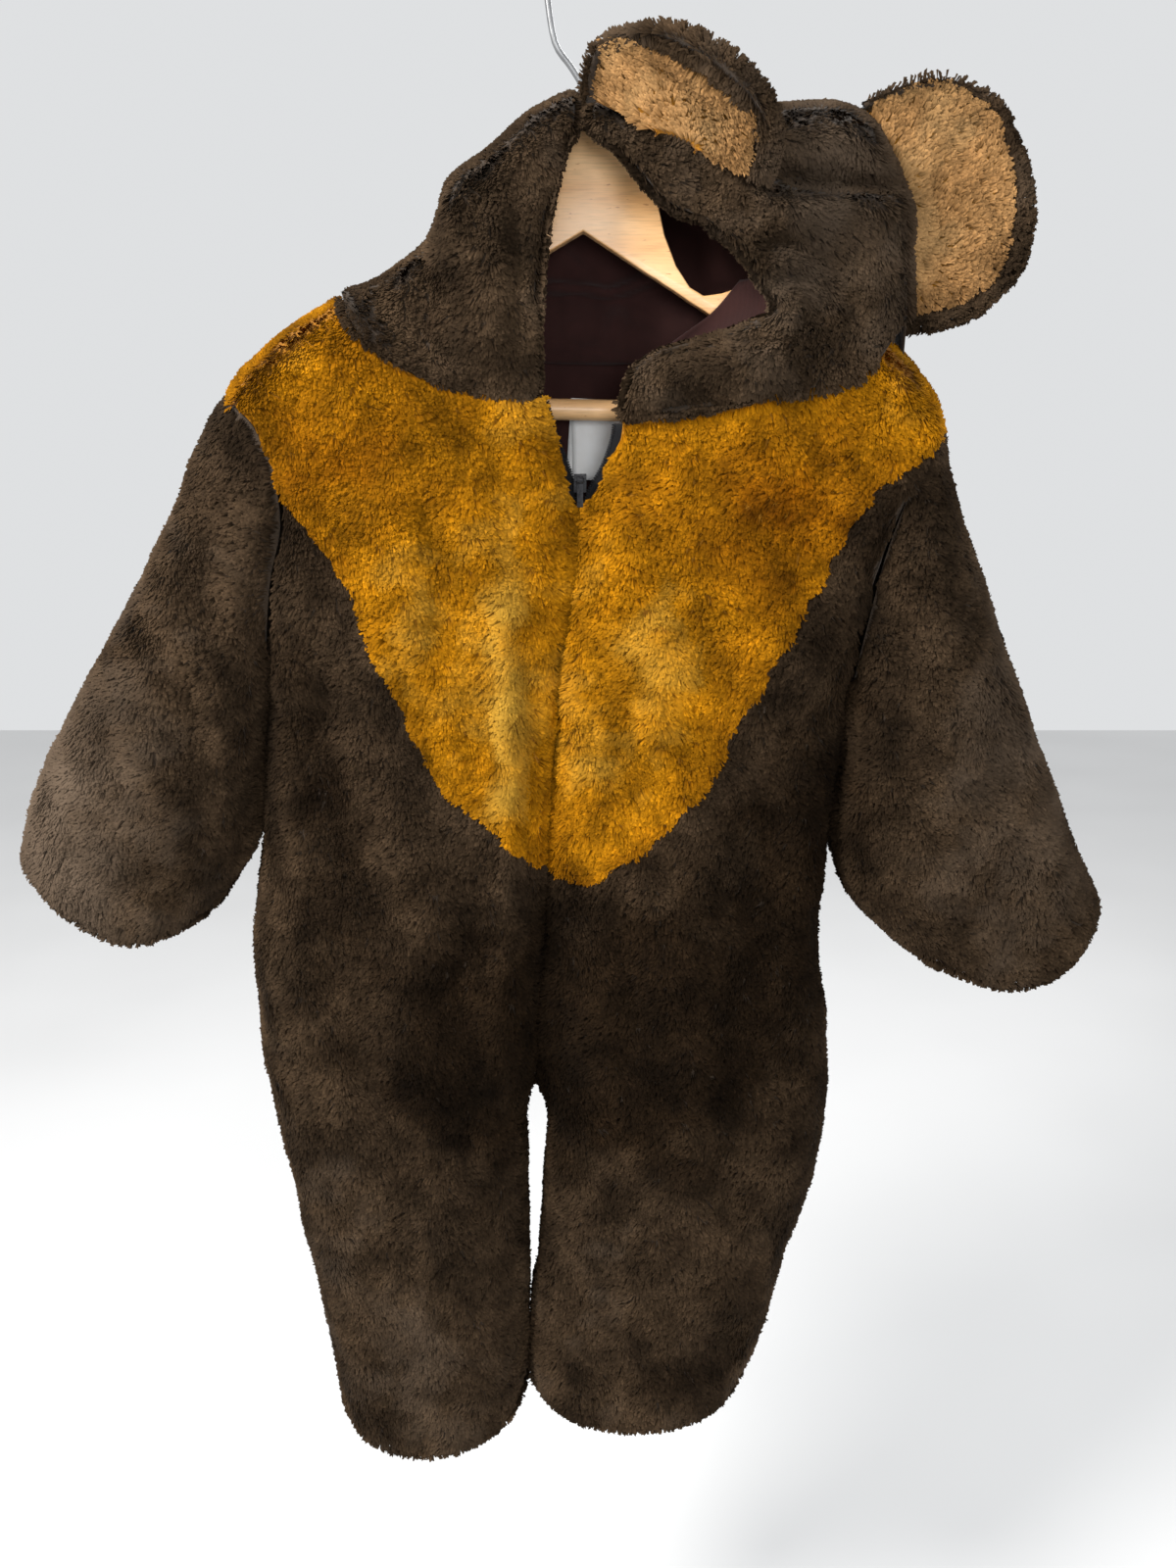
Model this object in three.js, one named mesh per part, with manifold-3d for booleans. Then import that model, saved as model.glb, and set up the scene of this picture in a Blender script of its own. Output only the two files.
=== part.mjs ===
// A toddler's plush bear suit with a hood and two round ears, hanging on a wooden clothes hanger.
// Millimetres. +X is the viewer's right, +Y goes back to the wall, +Z is up. The origin is the
// point inside the top of the hook where a rail carries it, so most heights are given as a drop,
// the distance below that point. Right and left are the wearer's, so the right side is at -X.

import * as THREE from "three";
import Module from "manifold-3d";
import { mergeVertices } from "three/addons/utils/BufferGeometryUtils.js";

const wasm = await Module();
wasm.setup();

// Cloth
const plush = 4; // wall of the plush: knitted backing and the pile that stands on it
const liningWall = 1;
const seamGap = 0.4; // between two pieces at a seam
const centreGap = 0.5; // from the centre line to each half

// Shoulders and hood are roofs: front and back close over the top in an arch this tall
const shoulderArch = 30;
const hoodArch = 26;
const shoulderRidge = 0; // depth of the shoulder seam
const hoodRidge = 3.4; // depth of the hood's top fold, just behind the hook's wire
const ridgeGap = 0.6;

// Corners where a seam meets a roof
const pinches = table(
  "x drop",
  [-201, 224],
  [-190, 240],
  [198, 240],
  [176, 120],
  [-134, 177],
  [-112, 206],
);

// Zip
const sliderDrop = 274;
const zipEnd = 600;
const tapeWidth = 6;
const tapeWall = 1.2;

// Hanger, drawn upright and then tipped
const hangerTip = THREE.MathUtils.degToRad(1.1);
const woodThick = 12;
const barRadius = 6;
const barDrop = 234;
const barHalf = 164.6;
const wire = 1.7; // radius of the hook's wire
const hookRadius = 21.5; // to the middle of the wire
const woodTop = 88;

const sides = ["right", "left"];

// Reads a table: one line of column names, then a row of numbers for each section.
function table(columns, ...rows) {
  const names = columns.split(" ");
  return rows.map((row) => Object.fromEntries(names.map((name, i) => [name, row[i]])));
}

// A column of a table at a place along its first column, on a smooth curve that never overshoots.
function read(rows, column, place) {
  const key = Object.keys(rows[0])[0];
  const last = rows.length - 1;
  if (place <= rows[0][key]) return rows[0][column];
  if (place >= rows[last][key]) return rows[last][column];
  let i = 0;
  while (place > rows[i + 1][key]) i += 1;
  const span = (k) => rows[k + 1][key] - rows[k][key];
  const rise = (k) => (rows[k + 1][column] - rows[k][column]) / span(k);
  const slope = (k) => {
    if (k === 0) return rise(0);
    if (k === last) return rise(last - 1);
    const product = rise(k - 1) * rise(k);
    return product > 0 ? (2 * product) / (rise(k - 1) + rise(k)) : 0;
  };
  const t = (place - rows[i][key]) / span(i);
  const fall = 1 - t;
  return (
    fall * fall * (1 + 2 * t) * rows[i][column] +
    t * t * (3 - 2 * t) * rows[i + 1][column] +
    span(i) * t * fall * (fall * slope(i) - t * slope(i + 1))
  );
}

const clamp = (x, low = 0, high = 1) => Math.min(high, Math.max(low, x));
const mix = (a, b, t) => a + (b - a) * t;
const ease = (t) => clamp(t) ** 2 * (3 - 2 * clamp(t));
const arch = (depth, tall) => Math.sqrt(1 - (1 - clamp(depth / tall)) ** 2);

// The suit's half sections. inner is x at the centre front, or at the inseam below the crotch,
// and outer is x at the armhole or side seam. seam and side are the depths y of those two edges,
// bulge is how far the cloth stands beyond the line between them, and inRound and outRound say
// how blunt each end is: under 1 it turns away at once, near 2 it runs on flat.
const front = {
  right: table(
    "drop inner outer seam side bulge inRound outRound",
    [228, -26, -201, -34, -33, 8, 1.6, 1.8],
    [245, -21, -184, -34, -34, 8, 1.6, 1.8],
    [270, -12, -174, -33, -35, 9, 1.5, 1.8],
    [294, -5.5, -173, -31, -36, 10, 1.4, 1.7],
    [330, -9, -181, -29, -35, 14, 1.1, 1.6],
    [375, -16.5, -187, -27, -29, 22, 0.9, 1.2],
    [392, -18, -189, -26, -20, 26, 0.85, 1],
    [402, -19, -190, -26, -7, 31, 0.85, 0.8],
    [486, -24.5, -198, -24, -6, 36, 0.75, 0.7],
    [558, -29, -208, -22, -6, 39, 0.7, 0.7],
    [628, -33, -207, -15, -6, 42, 0.7, 0.7],
    [652, -37, -203, -6.6, -6, 45, 0.7, 0.7],
    [676, -41, -199, -6, -6, 46, 0.7, 0.7],
    [746, -41, -188, -6, -6, 47, 0.7, 0.7],
    [831, -41.2, -174, -6, -6, 50, 0.7, 0.7],
    [894, -44, -166, -6, -6, 55, 0.75, 0.75],
  ),
  left: table(
    "drop inner outer seam side bulge inRound outRound",
    [228, 18, 198, -34, -33, 8, 1.6, 1.8],
    [245, 17, 197, -34, -34, 8, 1.6, 1.8],
    [262, 12, 188, -33, -35, 9, 1.5, 1.8],
    [294, -5.5, 176, -31, -36, 10, 1.4, 1.7],
    [330, -9, 165, -29, -35, 13, 1.3, 1.6],
    [375, -16.5, 156, -27, -29, 20, 1.2, 1.2],
    [392, -18, 154, -26, -20, 24, 1.1, 1],
    [402, -19, 153.5, -26, -7, 29, 1.1, 0.8],
    [486, -24.5, 146, -24, -6, 33, 1, 0.7],
    [558, -29, 143, -22, -6, 36, 0.9, 0.7],
    [610, -32, 150.5, -17, -6, 38, 0.8, 0.7],
    [652, -32, 152.5, -6.6, -6, 43, 0.75, 0.7],
    [672, -25, 152.5, -6, -6, 44, 0.7, 0.7],
    [714, -27, 147, -6, -6, 45, 0.7, 0.7],
    [770, -31, 131, -6, -6, 47, 0.7, 0.7],
    [824, -38.2, 119, -6, -6, 50, 0.7, 0.7],
    [868, -39, 104, -6, -6, 55, 0.75, 0.75],
  ),
};

// The same for the back, which both sides share but for inner and outer.
const back = table(
  "drop centre seam side bulge inRound outRound",
  [165, -3, 22, 20, 6, 1.8, 1.8],
  [340, -9, 23, 20, 6, 1.8, 1.8],
  [375, -12, 23, 14, 8, 1.8, 1.3],
  [392, -14, 23, 6, 11, 1.6, 1],
  [402, -15, 23, -5, 15, 1.5, 0.8],
  [486, -22, 22, -6, 19, 1.4, 0.7],
  [600, -31, 18, -6, 22, 1.2, 0.7],
  [640, -34, 8, -6, 27, 0.9, 0.7],
  [652, -36, -5.4, -6, 34, 0.7, 0.7],
  [890, -44, -6, -6, 34, 0.7, 0.7],
);

// Top edges, by distance from the middle: the neck seam in front, up to the neck point, and then
// the shoulder seam. shoulder alone is the shoulder seam and its line on towards the hook.
const neckPoint = { right: 137, left: 138 };
const neck = {
  right: table(
    "across drop",
    [26, 228],
    [67, 224],
    [91, 217.5],
    [110, 208],
    [123, 197.5],
    [132, 185],
    [137, 173],
  ),
  left: table(
    "across drop",
    [18, 240],
    [45, 238],
    [81, 232],
    [113, 222],
    [128, 206],
    [138, 181],
  ),
};
const backNeck = {
  right: table("across drop", [0, 197], [60, 194], [110, 186], [137, 174]),
  left: table("across drop", [0, 197], [60, 195.5], [110, 190], [138, 181]),
};
const shoulder = {
  right: table("across drop", [0, 100], [137, 173], [166, 188], [190, 208], [201, 224]),
  left: table("across drop", [0, 106], [138, 180], [166, 194], [182, 207], [191, 221], [198, 240]),
};

// The lower edge of the tan bib, by x.
const bib = {
  right: table(
    "x drop",
    [-172, 282],
    [-153, 306],
    [-137, 325],
    [-125, 351],
    [-117, 373],
    [-107, 399],
    [-96, 426],
    [-88, 441],
    [-62, 461],
    [-42, 481],
    [-24, 499],
  ),
  left: table(
    "x drop",
    [-25, 500],
    [-4, 503],
    [16, 497],
    [34, 481],
    [60, 454],
    [85, 415],
    [99, 392],
    [115, 360],
    [125, 334],
    [147, 300],
    [169, 270],
    [188, 256],
    [197, 254],
  ),
};

const hem = {
  right: { innerDrop: 876, outerDrop: 887, frontDip: 17 },
  left: { innerDrop: 866, outerDrop: 862, frontDip: 15 },
};

// The largest folds of the front, each a soft ridge (or trough, if height is negative) between
// two points. They fade at both ends and at the seams.
const folds = table(
  "x0 drop0 x1 drop1 width height",
  [-40, 330, -47, 640, 10, 6],
  [-108, 262, -104, 350, 15, 3],
  [-150, 330, -158, 520, 18, -7],
  [-105, 470, -95, 640, 20, 6],
  [-140, 560, -120, 840, 22, -6],
  [-70, 690, -62, 860, 18, 5],
  [55, 280, 95, 360, 18, -3],
  [10, 420, 30, 560, 18, -5],
  [112, 430, 100, 620, 18, -7],
  [60, 520, 75, 690, 20, 6],
  [125, 620, 55, 760, 20, -5],
  [20, 740, 50, 850, 18, 5],
);

// Sleeves run from the armhole to the cuff. over is the sleeve's upper edge as it hangs, under its
// lower one, and front and back are the depths of the cloth between them.
const sleeve = {
  right: table(
    "along overX overDrop underX underDrop front back",
    [0, -201, 224, -190, 401, 34, 22],
    [0.15, -217, 240, -194, 424, 38, 22],
    [0.35, -240, 290, -199, 450, 42, 22],
    [0.55, -272, 346, -202, 476, 44, 22],
    [0.75, -311, 408, -209, 496, 46, 22],
    [0.9, -338, 460, -222, 515, 47, 22],
    [1, -351, 500, -233, 534, 48, 22],
  ),
  left: table(
    "along overX overDrop underX underDrop front back",
    [0, 198, 240, 153.6, 401, 34, 22],
    [0.15, 206, 264, 156, 424, 38, 22],
    [0.35, 222, 308, 153.5, 450, 42, 22],
    [0.55, 246, 366, 150, 482, 44, 22],
    [0.75, 276, 438, 161, 518, 46, 22],
    [0.9, 304, 500, 189, 551, 47, 22],
    [1, 319, 530, 205, 562, 48, 22],
  ),
};
const sleeveRound = 0.8;
const cuff = { right: { dip: 22, low: 1.5 }, left: { dip: 25, low: 1 } };

// The hood has slumped to the left. Its silhouette is a roof line by x over two side edges, and
// its front stands forward by reach. The face opening lies between openRight and openLeft.
const hoodRight = -134;
const hoodRoof = table(
  "x drop",
  [-139, 174],
  [-108, 157],
  [-84, 137],
  [-75, 112],
  [-53, 97],
  [-26, 76],
  [-5, 68],
  [8, 71],
  [51, 77],
  [97, 76],
  [128, 74],
  [149, 80],
  [160, 95],
  [168, 108],
  [175, 122],
);
const hoodEdge = table("drop left", [110, 175], [154, 177], [189, 180], [240, 178]);
const hoodReach = table(
  "x front back",
  [-139, 22, 22],
  [-92, 26, 26],
  [-76, 42, 28],
  [-45, 44, 30],
  [0, 34, 31],
  [40, 42, 32],
  [90, 54, 32],
  [150, 50, 30],
  [180, 44, 28],
);
const openRight = table(
  "drop x",
  [88, -4.4],
  [95, -6],
  [102, -10],
  [121, -15.5],
  [145, -21],
  [175, -25],
  [228, -26.8],
);
const openLeft = table(
  "drop x",
  [88, 1.4],
  [95, 4],
  [102, 13],
  [120, 27],
  [130, 38],
  [145, 66],
  [158, 82],
  [171, 91],
  [184, 96],
  [190, 90],
  [196, 66],
  [203, 38],
  [212, 23],
  [226, 19],
  [240, 18.5],
);
// The hood's lower edge on the left, where it rolls over the neck seam and hangs past it.
const hoodLow = table(
  "x drop",
  [18, 239.4],
  [45, 237.4],
  [81, 231.4],
  [100, 228],
  [125, 223],
  [140, 220],
  [152, 215],
  [163, 204],
  [171, 194],
  [177, 185],
);
const hoodBackLow = table(
  "x drop",
  [-137, 173],
  [-110, 185],
  [-60, 193],
  [0, 196],
  [60, 194.5],
  [104, 190],
  [118, 187],
  [128, 186],
  [138, 189],
  [152, 198],
  [165, 199],
  [177, 185],
);
const hoodRoll = 15;
const hoodFolds = table(
  "x0 drop0 x1 drop1 width height",
  [-88, 132, -86, 176, 6, -7],
  [78, 118, 165, 122, 7, -9],
  [90, 132, 150, 136, 9, 5],
  [118, 150, 160, 200, 9, -6],
  [104, 165, 112, 215, 9, 6],
  [40, 100, 95, 128, 9, 4],
);

// Ears: halfBase along the hood and tall away from it, lying in a plane of their own. along, up
// and the face that they make are directions; base lets the ear's foot follow the hood's edge.
const earWall = 3.5; // rim says how far the brown back wraps round outside the tan face
const ears = {
  right: {
    middle: [47, -54.2, -98],
    along: [0.9, -0.26, -0.436],
    up: [0.3, -0.74, 0.6],
    halfBase: 41,
    tall: 38,
    rim: 11,
    base: table("along rise", [-43, 0], [43, 0]),
  },
  left: {
    middle: [167.5, -10, -133.5],
    along: [0.268, 0, -0.963],
    up: [0.95, -0.14, 0.265],
    halfBase: 52,
    tall: 63,
    rim: 8,
    base: table(
      "along rise",
      [-52, 0.5],
      [-26, 9],
      [-13, 12],
      [0, 10.5],
      [26, 4],
      [52, 0.8],
    ),
  },
};

const material = (color, roughness = 0.95, metalness = 0) =>
  new THREE.MeshStandardMaterial({ color, roughness, metalness });
const looks = {
  brown: material(0x3b2e24),
  tan: material(0xb97c22),
  lining: material(0x2c1a18, 0.85),
  label: material(0xeeeeea, 0.7),
  zip: material(0x141414, 0.5),
  wood: material(0xdcab72, 0.45),
  steel: material(0xb9bcbe, 0.25, 1),
};

// Height of the folds of a list at a point.
function foldsAt(list, x, drop) {
  let height = 0;
  for (const f of list) {
    const [dx, dz] = [f.x1 - f.x0, f.drop1 - f.drop0];
    const t = clamp(((x - f.x0) * dx + (drop - f.drop0) * dz) / (dx * dx + dz * dz));
    const off = Math.hypot(x - mix(f.x0, f.x1, t), drop - mix(f.drop0, f.drop1, t));
    height += f.height * Math.sin(Math.PI * mix(0.12, 0.88, t)) * Math.exp(-((off / f.width) ** 2));
  }
  return height;
}

// How far round the half section x lies: 0 at the inner edge, pi at the outer one.
const turnAt = (x, inner, outer) => Math.acos(1 - 2 * clamp((x - inner) / (outer - inner)));
const xAt = (turn, inner, outer) => mix(inner, outer, (1 - Math.cos(turn)) / 2);

// Depth of a bowed section between its two edges.
function bow(turn, row, sign) {
  const share = (1 - Math.cos(turn)) / 2;
  const round = mix(row.inRound, row.outRound, share);
  return mix(row.seam, row.side, share) + sign * row.bulge * Math.sin(turn) ** round;
}

function rowAt(rows, drop) {
  const row = {};
  for (const column of Object.keys(rows[0])) row[column] = read(rows, column, drop);
  return row;
}

const centreSign = { right: -1, left: 1 };
const innerOf = (side, drop) => read(front[side], "inner", drop) + centreSign[side] * centreGap;
const outerOf = (side, drop) => read(front[side], "outer", drop);
function backInnerOf(side, drop) {
  const below = ease((drop - 600) / 60);
  return mix(read(back, "centre", drop) + centreSign[side] * centreGap, innerOf(side, drop), below);
}

// Depth of the suit's front and back at a point of one half.
function frontDepth(side, x, drop) {
  const turn = turnAt(x, innerOf(side, drop), outerOf(side, drop));
  const fade = Math.sqrt(Math.sin(turn));
  const depth = bow(turn, rowAt(front[side], drop), -1) - foldsAt(folds, x, drop) * fade;
  const roof = read(shoulder[side], "drop", Math.abs(x));
  return mix(shoulderRidge - ridgeGap, depth, arch(drop - roof, shoulderArch));
}
function backDepth(side, x, drop) {
  const turn = turnAt(x, backInnerOf(side, drop), outerOf(side, drop));
  const roof = read(shoulder[side], "drop", Math.abs(x));
  const depth = bow(turn, rowAt(back, drop), 1);
  return mix(shoulderRidge + ridgeGap, depth, arch(drop - roof, shoulderArch));
}

// Depth of the hood's front and back at a point.
function hoodDepth(x, drop, facing) {
  const edge = read(hoodEdge, "left", drop);
  const turn = turnAt(x, hoodRight - 5, edge);
  const sign = facing === "front" ? -1 : 1;
  const reach = read(hoodReach, facing, x);
  const crease = facing === "front" ? foldsAt(hoodFolds, x, drop) * Math.sqrt(Math.sin(turn)) : 0;
  const depth = -6 + sign * ((reach + (sign > 0 ? 8 : 0)) * Math.sin(turn) ** 0.5 + crease);
  const roof = read(hoodRoof, "drop", x);
  return mix(hoodRidge + sign * ridgeGap, depth, arch(drop - roof, hoodArch));
}

// The drop at which a column, whose x changes with the drop, meets an edge given by x.
function meet(edge, xOf, from = 60, to = 920) {
  let [low, high] = [from, to];
  for (let i = 0; i < 40; i += 1) {
    const drop = (low + high) / 2;
    if (drop < edge(xOf(drop))) low = drop;
    else high = drop;
  }
  return (low + high) / 2;
}

// A share from 0 to 1 with points drawn in towards both ends.
const drawIn = (c, by = 0.06) => c - by * Math.sin(2 * Math.PI * c);

// A grid of points: across has columns and down has rows, each from 0 to 1.
function grid(columns, rows, point) {
  const points = [];
  for (let i = 0; i <= columns; i += 1) {
    points.push([]);
    for (let j = 0; j <= rows; j += 1) {
      points[i].push(new THREE.Vector3(...point(i / columns, j / rows)));
    }
  }
  return points;
}

// The plush is thinner at a pinch, where two seams and a roof run together.
function plushAt(p) {
  const near = Math.min(...pinches.map(({ x, drop }) => Math.hypot(p.x - x, p.z + drop)));
  return plush * clamp(near / 25, 0.35, 1);
}

// Draws a grid's outer edges in, so that two pieces never touch, but never past the next point.
function drawnIn(points, by) {
  const [m, n] = [points.length - 1, points[0].length - 1];
  const moved = points.map((column) => column.map((p) => p.clone()));
  const pull = (i, j, k, l) => {
    const way = points[k][l].clone().sub(points[i][j]);
    const long = way.length();
    moved[i][j].addScaledVector(way, Math.min(by, long / 2) / long);
  };
  for (let j = 0; j <= n; j += 1) {
    pull(0, j, 1, j);
    pull(m, j, m - 1, j);
  }
  for (let i = 0; i <= m; i += 1) {
    pull(i, 0, i, 1);
    pull(i, n, i, n - 1);
  }
  return moved;
}

// Where cloth bends tighter than its wall, eases the inner points apart, so that none cross.
function easeApart(inner, outer) {
  const [m, n] = [outer.length - 1, outer[0].length - 1];
  const part = (i, j, k, l) => {
    const way = outer[k][l].clone().sub(outer[i][j]);
    const run = inner[k][l].clone().sub(inner[i][j]).dot(way) / way.lengthSq();
    const lack = Math.max(0.2 - run, 0) / 2;
    inner[i][j].addScaledVector(way, -lack);
    inner[k][l].addScaledVector(way, lack);
  };
  for (let turn = 0; turn < 30; turn += 1) {
    for (let i = 0; i <= m; i += 1) {
      for (let j = 0; j <= n; j += 1) {
        if (i < m) part(i, j, i + 1, j);
        if (j < n) part(i, j, i, j + 1);
      }
    }
  }
}

// The same grid moved along its own normals, by a distance that is worked out for each point.
function inset(points, by) {
  const [m, n] = [points.length - 1, points[0].length - 1];
  return points.map((column, i) =>
    column.map((p, j) => {
      const across = points[Math.min(i + 1, m)][j].clone().sub(points[Math.max(i - 1, 0)][j]);
      const down = points[i][Math.min(j + 1, n)].clone().sub(points[i][Math.max(j - 1, 0)]);
      return p.clone().addScaledVector(across.cross(down).normalize(), by(p));
    }),
  );
}

// A cloth wall: the grid is its outside, and sense is 1 or -1 for the side that the inside is on.
function wall(points, thickness, sense) {
  const outer = drawnIn(points, seamGap / 2);
  const [m, n] = [outer.length - 1, outer[0].length - 1];
  const moved = inset(outer, (p) => sense * thickness(p));
  const inner = drawnIn(moved, 0.9 * thickness(outer[0][0]));
  easeApart(inner, outer);
  const positions = [...outer.flat(), ...inner.flat()].flatMap((p) => p.toArray());
  const layer = (m + 1) * (n + 1);
  const at = (i, j, deep) => deep * layer + i * (n + 1) + j;
  const faces = [];
  const corner = (k) => new THREE.Vector3().fromArray(positions, 3 * k);
  const quad = (...corners) => {
    let [a, b, c, d] = sense > 0 ? corners.reverse() : corners;
    if (corner(a).distanceTo(corner(c)) > corner(b).distanceTo(corner(d))) [a, b, c, d] = [b, c, d, a];
    faces.push(a, b, c, a, c, d);
  };
  for (let i = 0; i < m; i += 1) {
    for (let j = 0; j < n; j += 1) {
      quad(at(i, j, 0), at(i + 1, j, 0), at(i + 1, j + 1, 0), at(i, j + 1, 0));
      quad(at(i, j, 1), at(i, j + 1, 1), at(i + 1, j + 1, 1), at(i + 1, j, 1));
    }
    quad(at(i, 0, 0), at(i, 0, 1), at(i + 1, 0, 1), at(i + 1, 0, 0));
    quad(at(i, n, 0), at(i + 1, n, 0), at(i + 1, n, 1), at(i, n, 1));
  }
  for (let j = 0; j < n; j += 1) {
    quad(at(0, j, 0), at(0, j + 1, 0), at(0, j + 1, 1), at(0, j, 1));
    quad(at(m, j, 0), at(m, j, 1), at(m, j + 1, 1), at(m, j + 1, 0));
  }
  const geometry = new THREE.BufferGeometry();
  geometry.setAttribute("position", new THREE.Float32BufferAttribute(positions, 3));
  geometry.setIndex(faces);
  geometry.computeVertexNormals();
  return geometry;
}

const suit = new THREE.Group();
function add(name, geometry, look, parent = suit) {
  const mesh = new THREE.Mesh(geometry, look);
  mesh.name = name;
  parent.add(mesh);
  return mesh;
}

// A column of the suit's front or back: the drop of its top, bib edge and hem, and its x.
function frontColumn(side, share) {
  const turn = Math.PI * drawIn(share);
  const xOf = (drop) => xAt(turn, innerOf(side, drop), outerOf(side, drop));
  const topOf = (x) => {
    const across = Math.abs(x);
    return across < neckPoint[side]
      ? read(neck[side], "drop", across)
      : read(shoulder[side], "drop", across);
  };
  const { innerDrop, outerDrop, frontDip } = hem[side];
  return {
    xOf,
    top: meet(topOf, xOf, 165, 300),
    bib: meet((x) => read(bib[side], "drop", x), xOf, 230, 560),
    hem: mix(innerDrop, outerDrop, share) + frontDip * Math.sin(turn),
  };
}
function backColumn(side, share) {
  const turn = Math.PI * drawIn(share);
  const xOf = (drop) => xAt(turn, backInnerOf(side, drop), outerOf(side, drop));
  const topOf = (x) => {
    const across = Math.abs(x);
    return across < neckPoint[side]
      ? read(backNeck[side], "drop", across)
      : read(shoulder[side], "drop", across);
  };
  const { innerDrop, outerDrop, frontDip } = hem[side];
  const low = mix(innerDrop, outerDrop, share) + (frontDip / 2) * Math.sin(turn);
  return { xOf, top: meet(topOf, xOf, 165, 300), hem: low };
}

// Front, bib and back of one half. The wall's sense follows the way that its columns run.
function body(side) {
  const frontSense = side === "right" ? -1 : 1;
  const bibGrid = grid(14, 14, (share, down) => {
    const { xOf, top, bib: low } = frontColumn(side, share);
    const drop = mix(top, low, down ** 1.7);
    return [xOf(drop), frontDepth(side, xOf(drop), drop), -drop];
  });
  add(`bib_${side}`, wall(bibGrid, plushAt, frontSense), looks.tan);
  const frontGrid = grid(14, 24, (share, down) => {
    const { xOf, bib: top, hem: low } = frontColumn(side, share);
    const drop = mix(top, low, down);
    return [xOf(drop), frontDepth(side, xOf(drop), drop), -drop];
  });
  add(`front_${side}`, wall(frontGrid, plushAt, frontSense), looks.brown);
  const backGrid = grid(10, 24, (share, down) => {
    const { xOf, top, hem: low } = backColumn(side, share);
    const drop = mix(top, low, down ** 1.5);
    return [xOf(drop), backDepth(side, xOf(drop), drop), -drop];
  });
  add(`back_${side}`, wall(backGrid, plushAt, -frontSense), looks.brown);
}

// One sleeve: rings from the armhole to the cuff, open along the seam under the arm.
function sleevePoint(side, share, along) {
  const rows = sleeve[side];
  const turn = Math.PI * (1 - 2 * drawIn(share, 0.05)); // pi, under the arm, to the front, over, back
  const row = rowAt(rows, along);
  const over = (1 + Math.cos(turn)) / 2;
  const isFront = turn > 0;
  const round = Math.abs(Math.sin(turn)) ** sleeveRound;
  const ring = [
    mix(row.underX, row.overX, over),
    isFront ? -row.front * round : row.back * round,
    mix(row.underDrop, row.overDrop, over),
  ];
  const chord = new THREE.Vector2(row.underX - row.overX, row.underDrop - row.overDrop).normalize();
  const { dip, low } = cuff[side];
  const reach = (isFront ? dip : dip / 2) * clamp(along * 2.5 - 1.5) ** 2;
  const past = reach * Math.sin(Math.PI * (1 - over) ** low);
  ring[0] += centreSign[side] * chord.y * past;
  ring[2] -= centreSign[side] * chord.x * past;
  const drop = mix(rows[0].underDrop, rows[0].overDrop, over);
  const x = outerOf(side, drop) + centreSign[side] * 0.8;
  const hole = [x, isFront ? frontDepth(side, x, drop) : backDepth(side, x, drop), drop];
  const away = ease(along / 0.3);
  const [px, py, pd] = hole.map((value, k) => mix(value, ring[k], away));
  return [px, py - 3 * along * (1 - away), -pd];
}
function sleeves() {
  for (const side of sides) {
    const points = grid(24, 13, (share, along) => sleevePoint(side, share, along));
    add(`sleeve_${side}`, wall(points, plushAt, side === "right" ? -1 : 1), looks.brown);
  }
}

// The hood's two side pieces and its back, and the knitted lining that shows inside it.
function hoodSideRight() {
  const points = grid(10, 12, (share, up) => {
    const xOf = (drop) => mix(read(openRight, "x", drop), hoodRight, share);
    const top = meet((x) => read(hoodRoof, "drop", x), xOf, 60, 300);
    const low = meet((x) => read(neck.right, "drop", -x), xOf, 60, 300) - 1;
    const drop = mix(top, low, (1 - up) ** 1.6);
    const x = xOf(drop);
    const onNeck = Math.min(frontDepth("right", x, low), hoodRidge - ridgeGap);
    const depth = hoodDepth(x, drop, "front");
    return [x, mix(depth, onNeck, ease(1 - (low - drop) / 30)), -drop];
  });
  return wall(points, plushAt, 1);
}
function hoodSideLeft() {
  const points = grid(16, 16, (share, up) => {
    const turn = mix(0.35 * Math.PI, Math.PI, drawIn(share, 0.06));
    const reachOut = (1 - Math.cos(turn)) / 2;
    const start = (1 - Math.cos(0.35 * Math.PI)) / 2;
    const place = (reachOut - start) / (1 - start);
    const xOf = (drop) => mix(read(openLeft, "x", drop), read(hoodEdge, "left", drop), place);
    const top = meet((x) => read(hoodRoof, "drop", x), xOf, 60, 300);
    const low = meet((x) => read(hoodLow, "drop", x), xOf, 170, 300);
    const seated = 1 - ease((xOf(low) - 85) / 30);
    const rolled = seated * hoodRoll * Math.sin(Math.PI * clamp(up / 0.2)) * (up < 0.2 ? 1 : 0);
    const drop = mix(low, top, 1 - (1 - up) ** 1.4) + rolled;
    const x = xOf(drop);
    const onNeck = frontDepth("left", x, low);
    const lift = mix(1, Math.sin((Math.PI / 2) * clamp(up / 0.14)), seated);
    return [x, mix(onNeck, hoodDepth(x, drop, "front"), lift), -drop];
  });
  return wall(points, plushAt, -1);
}
function hoodBack() {
  const points = grid(20, 12, (share, up) => {
    const turn = mix(0.2 * Math.PI, Math.PI, drawIn(share, 0.05));
    const start = (1 - Math.cos(0.2 * Math.PI)) / 2;
    const place = ((1 - Math.cos(turn)) / 2 - start) / (1 - start);
    const xOf = (drop) => mix(hoodRight, read(hoodEdge, "left", drop), place);
    const top = meet((x) => read(hoodRoof, "drop", x), xOf, 60, 300);
    const low = meet((x) => read(hoodBackLow, "drop", x), xOf, 60, 300);
    const drop = mix(top, low, (1 - up) ** 1.6);
    return [xOf(drop), hoodBackDepth(xOf(drop), drop, low), -drop];
  });
  return wall(points, plushAt, 1);
}
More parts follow.
